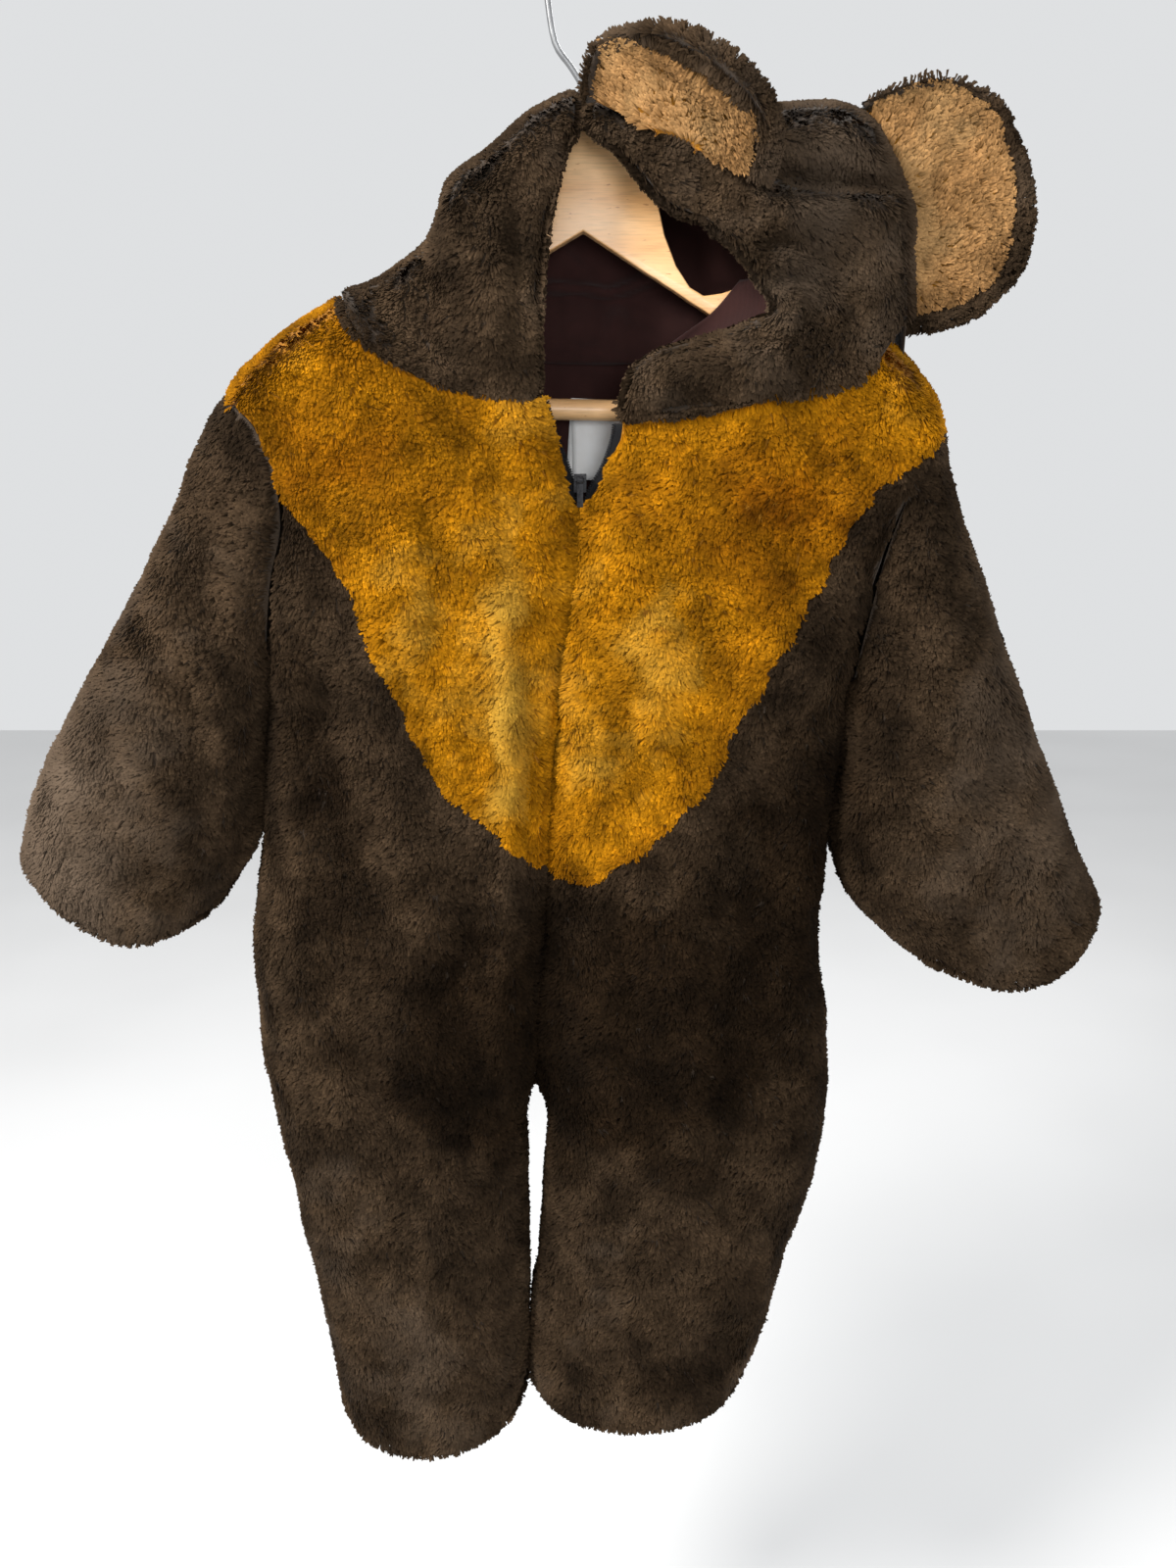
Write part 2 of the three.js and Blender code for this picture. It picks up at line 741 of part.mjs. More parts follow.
// Depth of the hood's back, which comes in to the neck seam as far as the seam goes.
function hoodBackDepth(x, drop, low) {
  const onNeck = Math.max(backDepth(x < 0 ? "right" : "left", x, low), hoodRidge + ridgeGap);
  const seated = ease(1 - (low - drop) / 30) * (1 - ease((x - 104) / 16));
  return mix(hoodDepth(x, drop, "back"), onNeck, seated);
}
// The hood's lining runs on over the top of the neck's, as its facing.
function hoodLining() {
  const points = grid(12, 9, (share, up) => {
    const x = mix(-92, 128, share);
    const side = x < 0 ? "right" : "left";
    const low = read(hoodBackLow, "drop", x);
    const past = mix(12, -8, ease((Math.abs(x) - 84) / 20));
    const drop = mix(low + past, read(hoodRoof, "drop", x) + 18, up);
    const depth = drop > low ? backDepth(side, x, drop) : hoodBackDepth(x, drop, low);
    return [x, depth, -drop];
  });
  return wall(inset(points, () => plush + 3.6), () => liningWall, 1);
}
function neckLining() {
  const points = grid(10, 5, (share, up) => {
    const x = mix(-100, 98, share);
    const side = x < 0 ? "right" : "left";
    const drop = mix(330, read(backNeck[side], "drop", Math.abs(x)) + 1.2, up);
    return [x, backDepth(side, x, drop), -drop];
  });
  return wall(inset(points, () => plush + 1.1), () => liningWall, 1);
}

// An ear's face is dished and its back is a bowl whose rim comes forward round the face.
function earFrame(ear) {
  const along = new THREE.Vector3(...ear.along).normalize();
  const up = new THREE.Vector3(...ear.up);
  up.addScaledVector(along, -up.dot(along)).normalize();
  const face = along.clone().cross(up);
  return (a, h, n) =>
    new THREE.Vector3(...ear.middle)
      .addScaledVector(along, a)
      .addScaledVector(up, h)
      .addScaledVector(face, n)
      .toArray();
}
function earPlace(ear, share, out, beyond = 0) {
  const t = Math.PI * share;
  let a = -ear.halfBase * Math.cos(t) * mix(0.25, 1, out) * (1 + 0.2 * Math.sin(t) * out);
  let h = ear.tall * Math.sin(t) ** 0.7 * out;
  h += (1 - h / ear.tall) * read(ear.base, "rise", a);
  const away = new THREE.Vector2(a, h - 0.25 * ear.tall).normalize();
  a += away.x * beyond;
  h += Math.max(away.y, 0) * beyond;
  return { a, h };
}
const earSwell = (share, out) => Math.sin(Math.PI * share) * Math.sin(Math.PI * (0.1 + 0.8 * out));
function earFace(ear) {
  const place = earFrame(ear);
  const points = grid(14, 7, (share, out) => {
    const { a, h } = earPlace(ear, share, out, out * (ear.rim - earWall - seamGap));
    return place(a, h, 5 - 4 * earSwell(share, out));
  });
  return wall(points, () => earWall, -1);
}
function earBack(ear) {
  const place = earFrame(ear);
  const flat = 0.66;
  const points = grid(14, 9, (share, out) => {
    const curl = (clamp((out - flat) / (1 - flat)) * Math.PI) / 2;
    const { a, h } = earPlace(ear, share, Math.min(out / flat, 1), ear.rim * Math.sin(curl));
    const depth = -4 - 5 * earSwell(share, Math.min(out / flat, 1)) + 9 * (1 - Math.cos(curl));
    return place(a, h, depth);
  });
  return wall(points, () => earWall, 1);
}

// A solid for joining and cutting, and back to a geometry.
function toSolid(geometry) {
  const bare = (geometry.index ? geometry.toNonIndexed() : geometry.clone())
    .deleteAttribute("normal")
    .deleteAttribute("uv");
  const merged = mergeVertices(bare, 1e-4);
  const triVerts = new Uint32Array(merged.index.array);
  const vertProperties = new Float32Array(merged.attributes.position.array);
  return new wasm.Manifold(new wasm.Mesh({ numProp: 3, vertProperties, triVerts }));
}
function toGeometry(solid) {
  const { vertProperties, triVerts } = solid.getMesh();
  const geometry = new THREE.BufferGeometry();
  geometry.setAttribute("position", new THREE.BufferAttribute(vertProperties, 3));
  geometry.setIndex(new THREE.BufferAttribute(triVerts, 1));
  return geometry.toNonIndexed();
}
function box(width, deep, tall, x, y, z) {
  return new THREE.BoxGeometry(width, deep, tall).translate(x, y, z);
}

// Zip tapes follow the edges of the opening and then run down behind the closed seam.
function zipTape(side) {
  const sign = centreSign[side];
  const points = grid(1, 18, (share, down) => {
    const drop = mix(neck[side][0].drop + 2, zipEnd, down);
    const open = 1 - ease((drop - sliderDrop) / 12);
    const edge = read(front[side], "inner", drop);
    const x = edge + sign * (mix(0.3, -2.6, open) + share * tapeWidth);
    return [x, read(front[side], "seam", drop) + plush + 0.3, -drop];
  });
  return wall(points, () => tapeWall, side === "right" ? -1 : 1);
}
const sliderFace = read(front.right, "seam", sliderDrop) + plush - 0.1; // by the tapes' front
const pin = { x: -4.4, y: sliderFace - 9, z: -sliderDrop + 2, radius: 0.8 };
function zipSlider() {
  const [wide, deep, tall, cheek] = [7, 5, 10, 0.9];
  const bodyPart = toSolid(box(wide, deep, tall, pin.x, sliderFace - deep / 2, -sliderDrop));
  const front = sliderFace - deep + 0.2;
  const reach = front - pin.y + pin.radius;
  const cheeks = [-1, 1].map((way) =>
    toSolid(box(cheek, reach, 2 * pin.radius, pin.x + way * 2.5, front - reach / 2, pin.z)),
  );
  const bar = new THREE.CylinderGeometry(pin.radius, pin.radius, 5.4, 12).rotateZ(Math.PI / 2);
  const bridge = toSolid(bar.translate(pin.x, pin.y, pin.z));
  return toGeometry(bodyPart.add(cheeks[0]).add(cheeks[1]).add(bridge));
}
function zipPull() {
  const [headRadius, holeRadius, wide, long, thick] = [2.1, 1.2, 3.4, 15, 1.2];
  const profile = new THREE.Shape();
  const meetAngle = Math.asin(thick / 2 / headRadius);
  profile.moveTo(-long, thick / 2);
  profile.lineTo(-headRadius * Math.cos(meetAngle), thick / 2);
  profile.absarc(0, 0, headRadius, Math.PI - meetAngle, -Math.PI + meetAngle, true);
  profile.lineTo(-long, -thick / 2);
  profile.closePath();
  profile.holes.push(new THREE.Path().absarc(0, 0, holeRadius, 0, 2 * Math.PI, false));
  const geometry = new THREE.ExtrudeGeometry(profile, {
    depth: wide,
    bevelEnabled: false,
    curveSegments: 10,
  });
  return geometry.translate(0, 0, -wide / 2).rotateY(-Math.PI / 2);
}

// Hanger: two arms sawn from one profile, a round bar and a wire hook, tipped as it hangs.
const arm = table(
  "x top bottom",
  [0, 88, 139],
  [12, 89, 146],
  [38, 107, 161.5],
  [41, 124, 163],
  [45, 140, 165.5],
  [52, 156, 169.5],
  [60, 167, 174.5],
  [68, 171.5, 179],
  [78, 170, 185],
  [88, 166.5, 190.5],
  [110, 173, 202],
  [140, 188.2, 216],
  [158, 198.2, 225],
  [164.9, 202.6, 227.7],
  [165.1, 202.7, 243],
  [180, 214.6, 243],
  [185, 221, 241],
);
function hangerArms() {
  const profile = new THREE.Shape();
  const top = [...arm].reverse().map((row) => [-row.x, -row.top]);
  const rest = [
    ...arm.slice(1).map((row) => [row.x, -row.top]),
    ...[...arm].reverse().map((row) => [row.x, -row.bottom]),
    ...arm.slice(1).map((row) => [-row.x, -row.bottom]),
  ];
  [...top, ...rest].forEach(([x, z], i) => (i ? profile.lineTo(x, z) : profile.moveTo(x, z)));
  profile.closePath();
  return new THREE.ExtrudeGeometry(profile, { depth: woodThick, bevelEnabled: false })
    .translate(0, 0, -woodThick / 2)
    .rotateX(Math.PI / 2);
}
function hangerHook() {
  const middle = new THREE.Vector3(0, 0, wire - hookRadius);
  const points = [];
  for (let degrees = -35; degrees <= 190; degrees += 22.5) {
    const angle = THREE.MathUtils.degToRad(degrees);
    const spoke = new THREE.Vector3(Math.cos(angle), 0, Math.sin(angle));
    points.push(spoke.multiplyScalar(hookRadius).add(middle));
  }
  points.push(
    new THREE.Vector3(-17, 0, -44),
    new THREE.Vector3(-8, 0, -56),
    new THREE.Vector3(-1.5, 0, -66),
    new THREE.Vector3(0, 0, -76),
    new THREE.Vector3(0, 0, -woodTop + 0.3),
  );
  const path = new THREE.CatmullRomCurve3(points, false, "centripetal");
  const ring = new THREE.Shape();
  for (let i = 0; i < 8; i += 1) {
    const angle = (i / 8) * 2 * Math.PI;
    const [u, v] = [wire * Math.cos(angle), wire * Math.sin(angle)];
    if (i) ring.lineTo(u, v);
    else ring.moveTo(u, v);
  }
  ring.closePath();
  return new THREE.ExtrudeGeometry(ring, { extrudePath: path, steps: 44, bevelEnabled: false });
}

for (const side of sides) body(side);
sleeves();
add("hood_side_right", hoodSideRight(), looks.brown);
add("hood_side_left", hoodSideLeft(), looks.brown);
add("hood_back", hoodBack(), looks.brown);
add("hood_lining", hoodLining(), looks.lining);
add("neck_lining", neckLining(), looks.lining);
for (const side of sides) {
  add(`ear_face_${side}`, earFace(ears[side]), looks.tan);
  add(`ear_back_${side}`, earBack(ears[side]), looks.brown);
  add(`zip_tape_${side}`, zipTape(side), looks.zip);
}
add("zip_slider", zipSlider(), looks.zip);
add("zip_pull", zipPull(), looks.zip).position.set(pin.x, pin.y, pin.z);

const label = box(30, 0.6, 46, 5, 0, 0);
add("neck_label", label, looks.label).position.set(0, backDepth("left", 5, 250) - plush - 4.5, -250);

const hanger = new THREE.Group();
hanger.rotation.y = hangerTip;
suit.add(hanger);
add("hanger_arms", hangerArms(), looks.wood, hanger);
const bar = new THREE.CylinderGeometry(barRadius, barRadius, 2 * barHalf, 16);
add("hanger_bar", bar.rotateZ(Math.PI / 2).translate(0, 0, -barDrop), looks.wood, hanger);
add("hanger_hook", hangerHook(), looks.steel, hanger);

export default suit;
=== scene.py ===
# Looks of a toddler's plush bear suit on a wooden hanger. The tables and curves are in millimetres,
# in the frame of the model: +X is the viewer's right, +Y goes back, +Z is up, and a drop is a
# distance below the origin. Right and left are the wearer's, so the right side is at -X.

import math

import bmesh
import bpy
import numpy as np
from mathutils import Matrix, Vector


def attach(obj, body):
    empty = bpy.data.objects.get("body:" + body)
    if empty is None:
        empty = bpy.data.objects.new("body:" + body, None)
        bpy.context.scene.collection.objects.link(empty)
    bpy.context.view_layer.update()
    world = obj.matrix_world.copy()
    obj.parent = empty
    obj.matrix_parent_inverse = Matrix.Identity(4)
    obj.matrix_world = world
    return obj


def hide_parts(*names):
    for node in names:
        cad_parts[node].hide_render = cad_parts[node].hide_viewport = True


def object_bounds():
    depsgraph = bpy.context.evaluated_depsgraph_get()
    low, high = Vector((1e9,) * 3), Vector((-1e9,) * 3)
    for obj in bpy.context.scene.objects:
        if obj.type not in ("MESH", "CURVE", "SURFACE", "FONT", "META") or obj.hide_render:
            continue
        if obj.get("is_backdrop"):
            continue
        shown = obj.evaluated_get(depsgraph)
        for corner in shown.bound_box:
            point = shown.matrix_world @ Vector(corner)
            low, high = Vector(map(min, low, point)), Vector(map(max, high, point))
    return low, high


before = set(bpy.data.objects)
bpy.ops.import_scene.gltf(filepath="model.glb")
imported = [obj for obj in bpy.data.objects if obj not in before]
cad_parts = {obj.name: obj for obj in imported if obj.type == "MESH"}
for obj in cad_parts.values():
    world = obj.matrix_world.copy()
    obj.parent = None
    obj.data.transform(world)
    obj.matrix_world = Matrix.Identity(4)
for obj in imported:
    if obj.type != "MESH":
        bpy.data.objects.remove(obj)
cad_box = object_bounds()

MM = 0.001
PLUSH = 4.0  # the wall of the solids
DEEP = 3.1  # the backing lies this deep, and the pile reaches back out
BACKING = 1.0
RIGHT, LEFT = "right", "left"
SIGN = {RIGHT: -1, LEFT: 1}
CENTRE_GAP = 0.5
SHOULDER_ARCH = 30
HOOD_ARCH = 26
HOOD_RIDGE = 3.4
RIDGE_GAP = 0.6


# The camera stands at chest height and looks a little down.
def add_camera():
    data = bpy.data.cameras.new("view")
    data.lens = 30.375
    data.sensor_width = 36
    camera = bpy.data.objects.new("view", data)
    camera.location = (0, -0.79, -0.249)
    camera.rotation_euler = (math.radians(75.3), 0, 0)
    bpy.context.scene.collection.objects.link(camera)
    bpy.context.scene.camera = camera


add_camera()


# A table of columns, the first of which is the place that the others are read at.
def table(columns, *rows):
    return dict(zip(columns.split(), np.array(rows, float).T))


def read(rows, column, place):
    """A column at places along the first one, on a smooth curve that never overshoots."""
    key = next(iter(rows.values()))
    value = rows[column]
    place = np.clip(place, key[0], key[-1])
    i = np.clip(np.searchsorted(key, place, side="right") - 1, 0, len(key) - 2)
    span = np.diff(key)
    rise = np.diff(value) / span
    product = rise[:-1] * rise[1:]
    total = rise[:-1] + rise[1:]
    middle = np.where(product > 0, 2 * product / np.where(product > 0, total, 1), 0)
    slope = np.concatenate([rise[:1], middle, rise[-1:]])
    t = (place - key[i]) / span[i]
    fall = 1 - t
    return (
        fall * fall * (1 + 2 * t) * value[i]
        + t * t * (3 - 2 * t) * value[i + 1]
        + span[i] * t * fall * (fall * slope[i] - t * slope[i + 1])
    )


def drop_at(rows):
    """The curve of a table whose drop is read at x."""
    return lambda x: read(rows, "drop", x)


def clamp(x, low=0.0, high=1.0):
    return np.minimum(high, np.maximum(low, x))


def mix(a, b, t):
    return a + (b - a) * t


def ease(t):
    return clamp(t) ** 2 * (3 - 2 * clamp(t))


def arch(depth, tall):
    return np.sqrt(1 - (1 - clamp(depth / tall)) ** 2)


# The suit's half sections, as in the model's own source.
FRONT = {
    RIGHT: table(
        "drop inner outer seam side bulge inRound outRound",
        [228, -26, -201, -34, -33, 8, 1.6, 1.8],
        [245, -21, -184, -34, -34, 8, 1.6, 1.8],
        [270, -12, -174, -33, -35, 9, 1.5, 1.8],
        [294, -5.5, -173, -31, -36, 10, 1.4, 1.7],
        [330, -9, -181, -29, -35, 14, 1.1, 1.6],
        [375, -16.5, -187, -27, -29, 22, 0.9, 1.2],
        [392, -18, -189, -26, -20, 26, 0.85, 1],
        [402, -19, -190, -26, -7, 31, 0.85, 0.8],
        [486, -24.5, -198, -24, -6, 36, 0.75, 0.7],
        [558, -29, -208, -22, -6, 39, 0.7, 0.7],
        [628, -33, -207, -15, -6, 42, 0.7, 0.7],
        [652, -37, -203, -6.6, -6, 45, 0.7, 0.7],
        [676, -41, -199, -6, -6, 46, 0.7, 0.7],
        [746, -41, -188, -6, -6, 47, 0.7, 0.7],
        [831, -41.2, -174, -6, -6, 50, 0.7, 0.7],
        [894, -44, -166, -6, -6, 55, 0.75, 0.75],
    ),
    LEFT: table(
        "drop inner outer seam side bulge inRound outRound",
        [228, 18, 198, -34, -33, 8, 1.6, 1.8],
        [245, 17, 197, -34, -34, 8, 1.6, 1.8],
        [262, 12, 188, -33, -35, 9, 1.5, 1.8],
        [294, -5.5, 176, -31, -36, 10, 1.4, 1.7],
        [330, -9, 165, -29, -35, 13, 1.3, 1.6],
        [375, -16.5, 156, -27, -29, 20, 1.2, 1.2],
        [392, -18, 154, -26, -20, 24, 1.1, 1],
        [402, -19, 153.5, -26, -7, 29, 1.1, 0.8],
        [486, -24.5, 146, -24, -6, 33, 1, 0.7],
        [558, -29, 143, -22, -6, 36, 0.9, 0.7],
        [610, -32, 150.5, -17, -6, 38, 0.8, 0.7],
        [652, -32, 152.5, -6.6, -6, 43, 0.75, 0.7],
        [672, -25, 152.5, -6, -6, 44, 0.7, 0.7],
        [714, -27, 147, -6, -6, 45, 0.7, 0.7],
        [770, -31, 131, -6, -6, 47, 0.7, 0.7],
        [824, -38.2, 119, -6, -6, 50, 0.7, 0.7],
        [868, -39, 104, -6, -6, 55, 0.75, 0.75],
    ),
}
BACK = table(
    "drop centre seam side bulge inRound outRound",
    [165, -3, 22, 20, 6, 1.8, 1.8],
    [340, -9, 23, 20, 6, 1.8, 1.8],
    [375, -12, 23, 14, 8, 1.8, 1.3],
    [392, -14, 23, 6, 11, 1.6, 1],
    [402, -15, 23, -5, 15, 1.5, 0.8],
    [486, -22, 22, -6, 19, 1.4, 0.7],
    [600, -31, 18, -6, 22, 1.2, 0.7],
    [640, -34, 8, -6, 27, 0.9, 0.7],
    [652, -36, -5.4, -6, 34, 0.7, 0.7],
    [890, -44, -6, -6, 34, 0.7, 0.7],
)
NECK_POINT = {RIGHT: 137, LEFT: 138}
NECK = {
    RIGHT: table(
        "across drop",
        [26, 228], [67, 224], [91, 217.5], [110, 208], [123, 197.5], [132, 185], [137, 173],
    ),
    LEFT: table(
        "across drop", [18, 240], [45, 238], [81, 232], [113, 222], [128, 206], [138, 181]
    ),
}
BACK_NECK = {
    RIGHT: table("across drop", [0, 197], [60, 194], [110, 186], [137, 174]),
    LEFT: table("across drop", [0, 197], [60, 195.5], [110, 190], [138, 181]),
}
SHOULDER = {
    RIGHT: table("across drop", [0, 100], [137, 173], [166, 188], [190, 208], [201, 224]),
    LEFT: table(
        "across drop", [0, 106], [138, 180], [166, 194], [182, 207], [191, 221], [198, 240]
    ),
}
BIB = {
    RIGHT: table(
        "x drop",
        [-172, 282], [-153, 306], [-137, 325], [-125, 351], [-117, 373], [-107, 399], [-96, 426],
        [-88, 441], [-62, 461], [-42, 481], [-24, 499],
    ),
    LEFT: table(
        "x drop",
        [-25, 500], [-4, 503], [16, 497], [34, 481], [60, 454], [85, 415], [99, 392], [115, 360],
        [125, 334], [147, 300], [169, 270], [188, 256], [197, 254],
    ),
}
HEM = {RIGHT: (876, 887, 17), LEFT: (866, 862, 15)}  # inner drop, outer drop, dip

# Folds of the front that the solids have, then the finer creases that only the scene has. Each
# is a soft ridge (or trough, if height is negative) between two points.
FOLDS = table(
    "x0 drop0 x1 drop1 width height",
    [-40, 330, -47, 640, 10, 6], [-108, 262, -104, 350, 15, 3], [-150, 330, -158, 520, 18, -7],
    [-105, 470, -95, 640, 20, 6], [-140, 560, -120, 840, 22, -6], [-70, 690, -62, 860, 18, 5],
    [55, 280, 95, 360, 18, -3], [10, 420, 30, 560, 18, -5], [112, 430, 100, 620, 18, -7],
    [60, 520, 75, 690, 20, 6], [125, 620, 55, 760, 20, -5], [20, 740, 50, 850, 18, 5],
)
CREASES = table(
    "x0 drop0 x1 drop1 width height",
    [-92, 268, -84, 362, 5, -2.2], [-60, 300, -44, 356, 8, 1.6], [-128, 232, -120, 300, 9, -1.8],
    [-33, 350, -36, 560, 5, -4], [-44, 350, -47, 640, 6, 3.4], [-38, 520, -40, 650, 7, -4],
    [-12, 520, -18, 650, 13, -8], [-22, 590, -24, 650, 9, -5], [10, 440, 14, 600, 9, 2.4],
    [-70, 400, -60, 470, 8, -2], [-118, 400, -132, 520, 9, -2.4], [-172, 380, -176, 560, 9, 2.4],
    [-84, 520, -74, 600, 9, -2.4], [-56, 540, -60, 700, 9, 2], [-150, 640, -128, 700, 10, 2.4],
    [-104, 700, -112, 800, 9, -2.6], [-84, 770, -70, 830, 8, -2], [-136, 760, -132, 850, 8, 2.2],
    [-62, 640, -76, 690, 8, -2], [18, 276, 30, 330, 7, 1.6], [44, 330, 38, 420, 8, 1.8],
    [82, 262, 116, 300, 8, 1.6], [120, 262, 150, 272, 7, -1.6], [0, 330, -6, 440, 5, 1.8],
    [62, 380, 50, 450, 9, -2.2], [132, 400, 134, 540, 9, 2.6], [86, 470, 74, 560, 8, -2],
    [0, 560, -8, 650, 6, 2.4], [32, 570, 22, 640, 8, -2.4], [100, 640, 132, 690, 9, 2.4],
    [46, 690, 20, 740, 9, -2.4], [96, 720, 84, 800, 9, 2.2], [0, 770, 10, 850, 8, -2.4],
    [70, 800, 84, 850, 8, -2.6], [118, 740, 100, 820, 8, -1.8],
)
BACK_CREASES = table(
    "x0 drop0 x1 drop1 width height",
    [-60, 230, -40, 420, 14, 4], [-110, 240, -122, 420, 13, -4], [-160, 260, -150, 400, 11, 3],
    [62, 230, 46, 400, 14, 4], [108, 240, 112, 430, 12, -4], [152, 270, 132, 400, 10, 3],
    [-80, 430, -96, 640, 16, 5], [-140, 450, -150, 660, 14, -5], [-52, 460, -58, 640, 12, -4],
    [30, 420, 38, 620, 14, -5], [76, 440, 84, 650, 15, 5], [118, 500, 122, 680, 11, -4],
    [-110, 690, -96, 850, 16, 5], [-76, 700, -70, 840, 11, -4], [-150, 680, -140, 820, 12, -3],
    [26, 700, 34, 840, 14, 4], [74, 690, 62, 830, 12, -4],
)
SLEEVE_CREASES = table(
    "x0 drop0 x1 drop1 width height",
    [-212, 300, -228, 410, 11, -4], [-242, 330, -268, 440, 12, 3], [-286, 400, -262, 500, 11, -3],
    [-306, 430, -316, 500, 9, 2.4], [-228, 440, -256, 520, 9, 3], [-322, 460, -292, 520, 8, -2.2],
    [168, 270, 160, 420, 9, 4], [186, 290, 182, 420, 11, -5], [212, 330, 236, 430, 13, 3.4],
    [244, 400, 226, 500, 12, -3.6], [176, 450, 214, 530, 10, 3], [270, 450, 282, 530, 10, 2.6],
    [246, 520, 228, 560, 8, -2.4],
)
SLEEVE = {
    RIGHT: table(
        "along overX overDrop underX underDrop front back",
        [0, -201, 224, -190, 401, 34, 22],
        [0.15, -217, 240, -194, 424, 38, 22],
        [0.35, -240, 290, -199, 450, 42, 22],
        [0.55, -272, 346, -202, 476, 44, 22],
        [0.75, -311, 408, -209, 496, 46, 22],
        [0.9, -338, 460, -222, 515, 47, 22],
        [1, -351, 500, -233, 534, 48, 22],
    ),
    LEFT: table(
        "along overX overDrop underX underDrop front back",
        [0, 198, 240, 153.6, 401, 34, 22],
        [0.15, 206, 264, 156, 424, 38, 22],
        [0.35, 222, 308, 153.5, 450, 42, 22],
        [0.55, 246, 366, 150, 482, 44, 22],
        [0.75, 276, 438, 161, 518, 46, 22],
        [0.9, 304, 500, 189, 551, 47, 22],
        [1, 319, 530, 205, 562, 48, 22],
    ),
}
CUFF = {RIGHT: (22, 1.5), LEFT: (25, 1)}  # dip, and how low its lowest point lies

# The hood, slumped to the left.
HOOD_RIGHT = -134
HOOD_ROOF = table(
    "x drop",
    [-139, 174], [-108, 157], [-84, 137], [-75, 112], [-53, 97], [-26, 76], [-5, 68], [8, 71],
    [51, 77], [97, 76], [128, 74], [149, 80], [160, 95], [168, 108], [175, 122],
)
HOOD_EDGE = table("drop left", [110, 175], [154, 177], [189, 180], [240, 178])
HOOD_REACH = table(
    "x front back",
    [-139, 22, 22], [-92, 26, 26], [-76, 42, 28], [-45, 44, 30], [0, 34, 31], [40, 42, 32],
    [90, 54, 32], [150, 50, 30], [180, 44, 28],
)
OPEN_RIGHT = table(
    "drop x",
    [88, -4.4], [95, -6], [102, -10], [121, -15.5], [145, -21], [175, -25], [228, -26.8],
)
OPEN_LEFT = table(
    "drop x",
    [88, 1.4], [95, 4], [102, 13], [120, 27], [130, 38], [145, 66], [158, 82], [171, 91],
    [184, 96], [190, 90], [196, 66], [203, 38], [212, 23], [226, 19], [240, 18.5],
)
HOOD_LOW = table(
    "x drop",
    [18, 239.4], [45, 237.4], [81, 231.4], [100, 228], [125, 223], [140, 220], [152, 215],
    [163, 204], [171, 194], [177, 185],
)
HOOD_BACK_LOW = table(
    "x drop",
    [-137, 173], [-110, 185], [-60, 193], [0, 196], [60, 194.5], [104, 190], [118, 187],
    [128, 186], [138, 189], [152, 198], [165, 199], [177, 185],
)
HOOD_ROLL = 15
HOOD_FOLDS = table(
    "x0 drop0 x1 drop1 width height",
    [-88, 132, -86, 176, 6, -7], [78, 118, 165, 122, 7, -9], [90, 132, 150, 136, 9, 5],
    [118, 150, 160, 200, 9, -6], [104, 165, 112, 215, 9, 6], [40, 100, 95, 128, 9, 4],
)
HOOD_CREASES = table(
    "x0 drop0 x1 drop1 width height",
    [-78, 130, -80, 152, 5, -5], [-80, 152, -73, 216, 5, -6], [-66, 128, -64, 212, 8, 3.6],
    [-36, 122, -38, 212, 5, -3.4], [-50, 132, -50, 210, 6, 2.6], [96, 114, 114, 118, 4, -11],
    [114, 118, 140, 118, 4.6, -13], [140, 118, 168, 121, 4.6, -11], [104, 102, 144, 98, 10, 8],
    [104, 128, 158, 131, 8, 4], [100, 94, 116, 86, 4, -4], [37, 236, 56, 229, 5, -8],
    [56, 229, 76, 231, 5, -8], [30, 220, 84, 212, 9, 6], [82, 146, 104, 141, 3.4, 3.4],
    [88, 153, 110, 150, 3.2, -3.2], [92, 160, 114, 158, 3.4, 3.4], [95, 168, 116, 167, 3.2, -3.2],
    [62, 138, 76, 128, 4, 3], [48, 130, 62, 120, 4, -3], [30, 118, 44, 108, 5, 3],
    [-60, 120, -72, 200, 9, -2.4], [-44, 110, -48, 190, 8, 2], [-110, 176, -92, 200, 8, 2.4],
    [96, 186, 112, 190, 3.4, 2.6], [94, 196, 114, 201, 3.4, 2.4], [90, 206, 112, 211, 3.4, 2.2],
    [96, 176, 114, 178, 3.4, 2.2], [78, 214, 84, 226, 4, -2], [60, 216, 64, 232, 4, -2.2],
    [132, 146, 150, 160, 7, -2.4], [140, 176, 164, 178, 8, 2.6], [128, 206, 158, 200, 6, -2.2],
    [116, 92, 150, 84, 6, -2.4], [70, 96, 96, 92, 7, 2],
)
HOOD_BACK_CREASES = table(
    "x0 drop0 x1 drop1 width height",
    [-80, 130, -60, 180, 9, 3], [-30, 100, -20, 180, 10, -3.4], [30, 96, 26, 178, 12, 3],
    [80, 96, 76, 176, 10, -3.4], [120, 100, 132, 176, 10, 3], [20, 120, 110, 130, 9, -2.6],
)
LINING_FOLDS = table(
    "x0 drop0 x1 drop1 width height",
    [-30, 166, -4, 167, 3.6, 10], [-4, 167, 12, 171, 3.6, 11], [12, 171, 26, 165, 3.6, 11],
    [26, 165, 42, 157, 3.6, 8], [-20, 140, -2, 160, 5, 4], [12, 176, 13, 215, 1.6, 2],
    [-22, 176, 6, 178, 5, -4], [20, 178, 14, 196, 4, 3.4], [30, 158, 60, 166, 7, 3],
    [14, 174, -20, 186, 4, -4.6], [14, 176, -8, 200, 4, -4.2], [18, 176, 40, 190, 5, -3.6],
    [-24, 196, 30, 206, 4, 3.4], [-26, 210, 34, 216, 4, -3], [-20, 130, 6, 156, 8, -3],
    [40, 130, 52, 160, 7, -3], [64, 120, 84, 160, 8, 3.4], [70, 168, 96, 172, 6, -3],
)

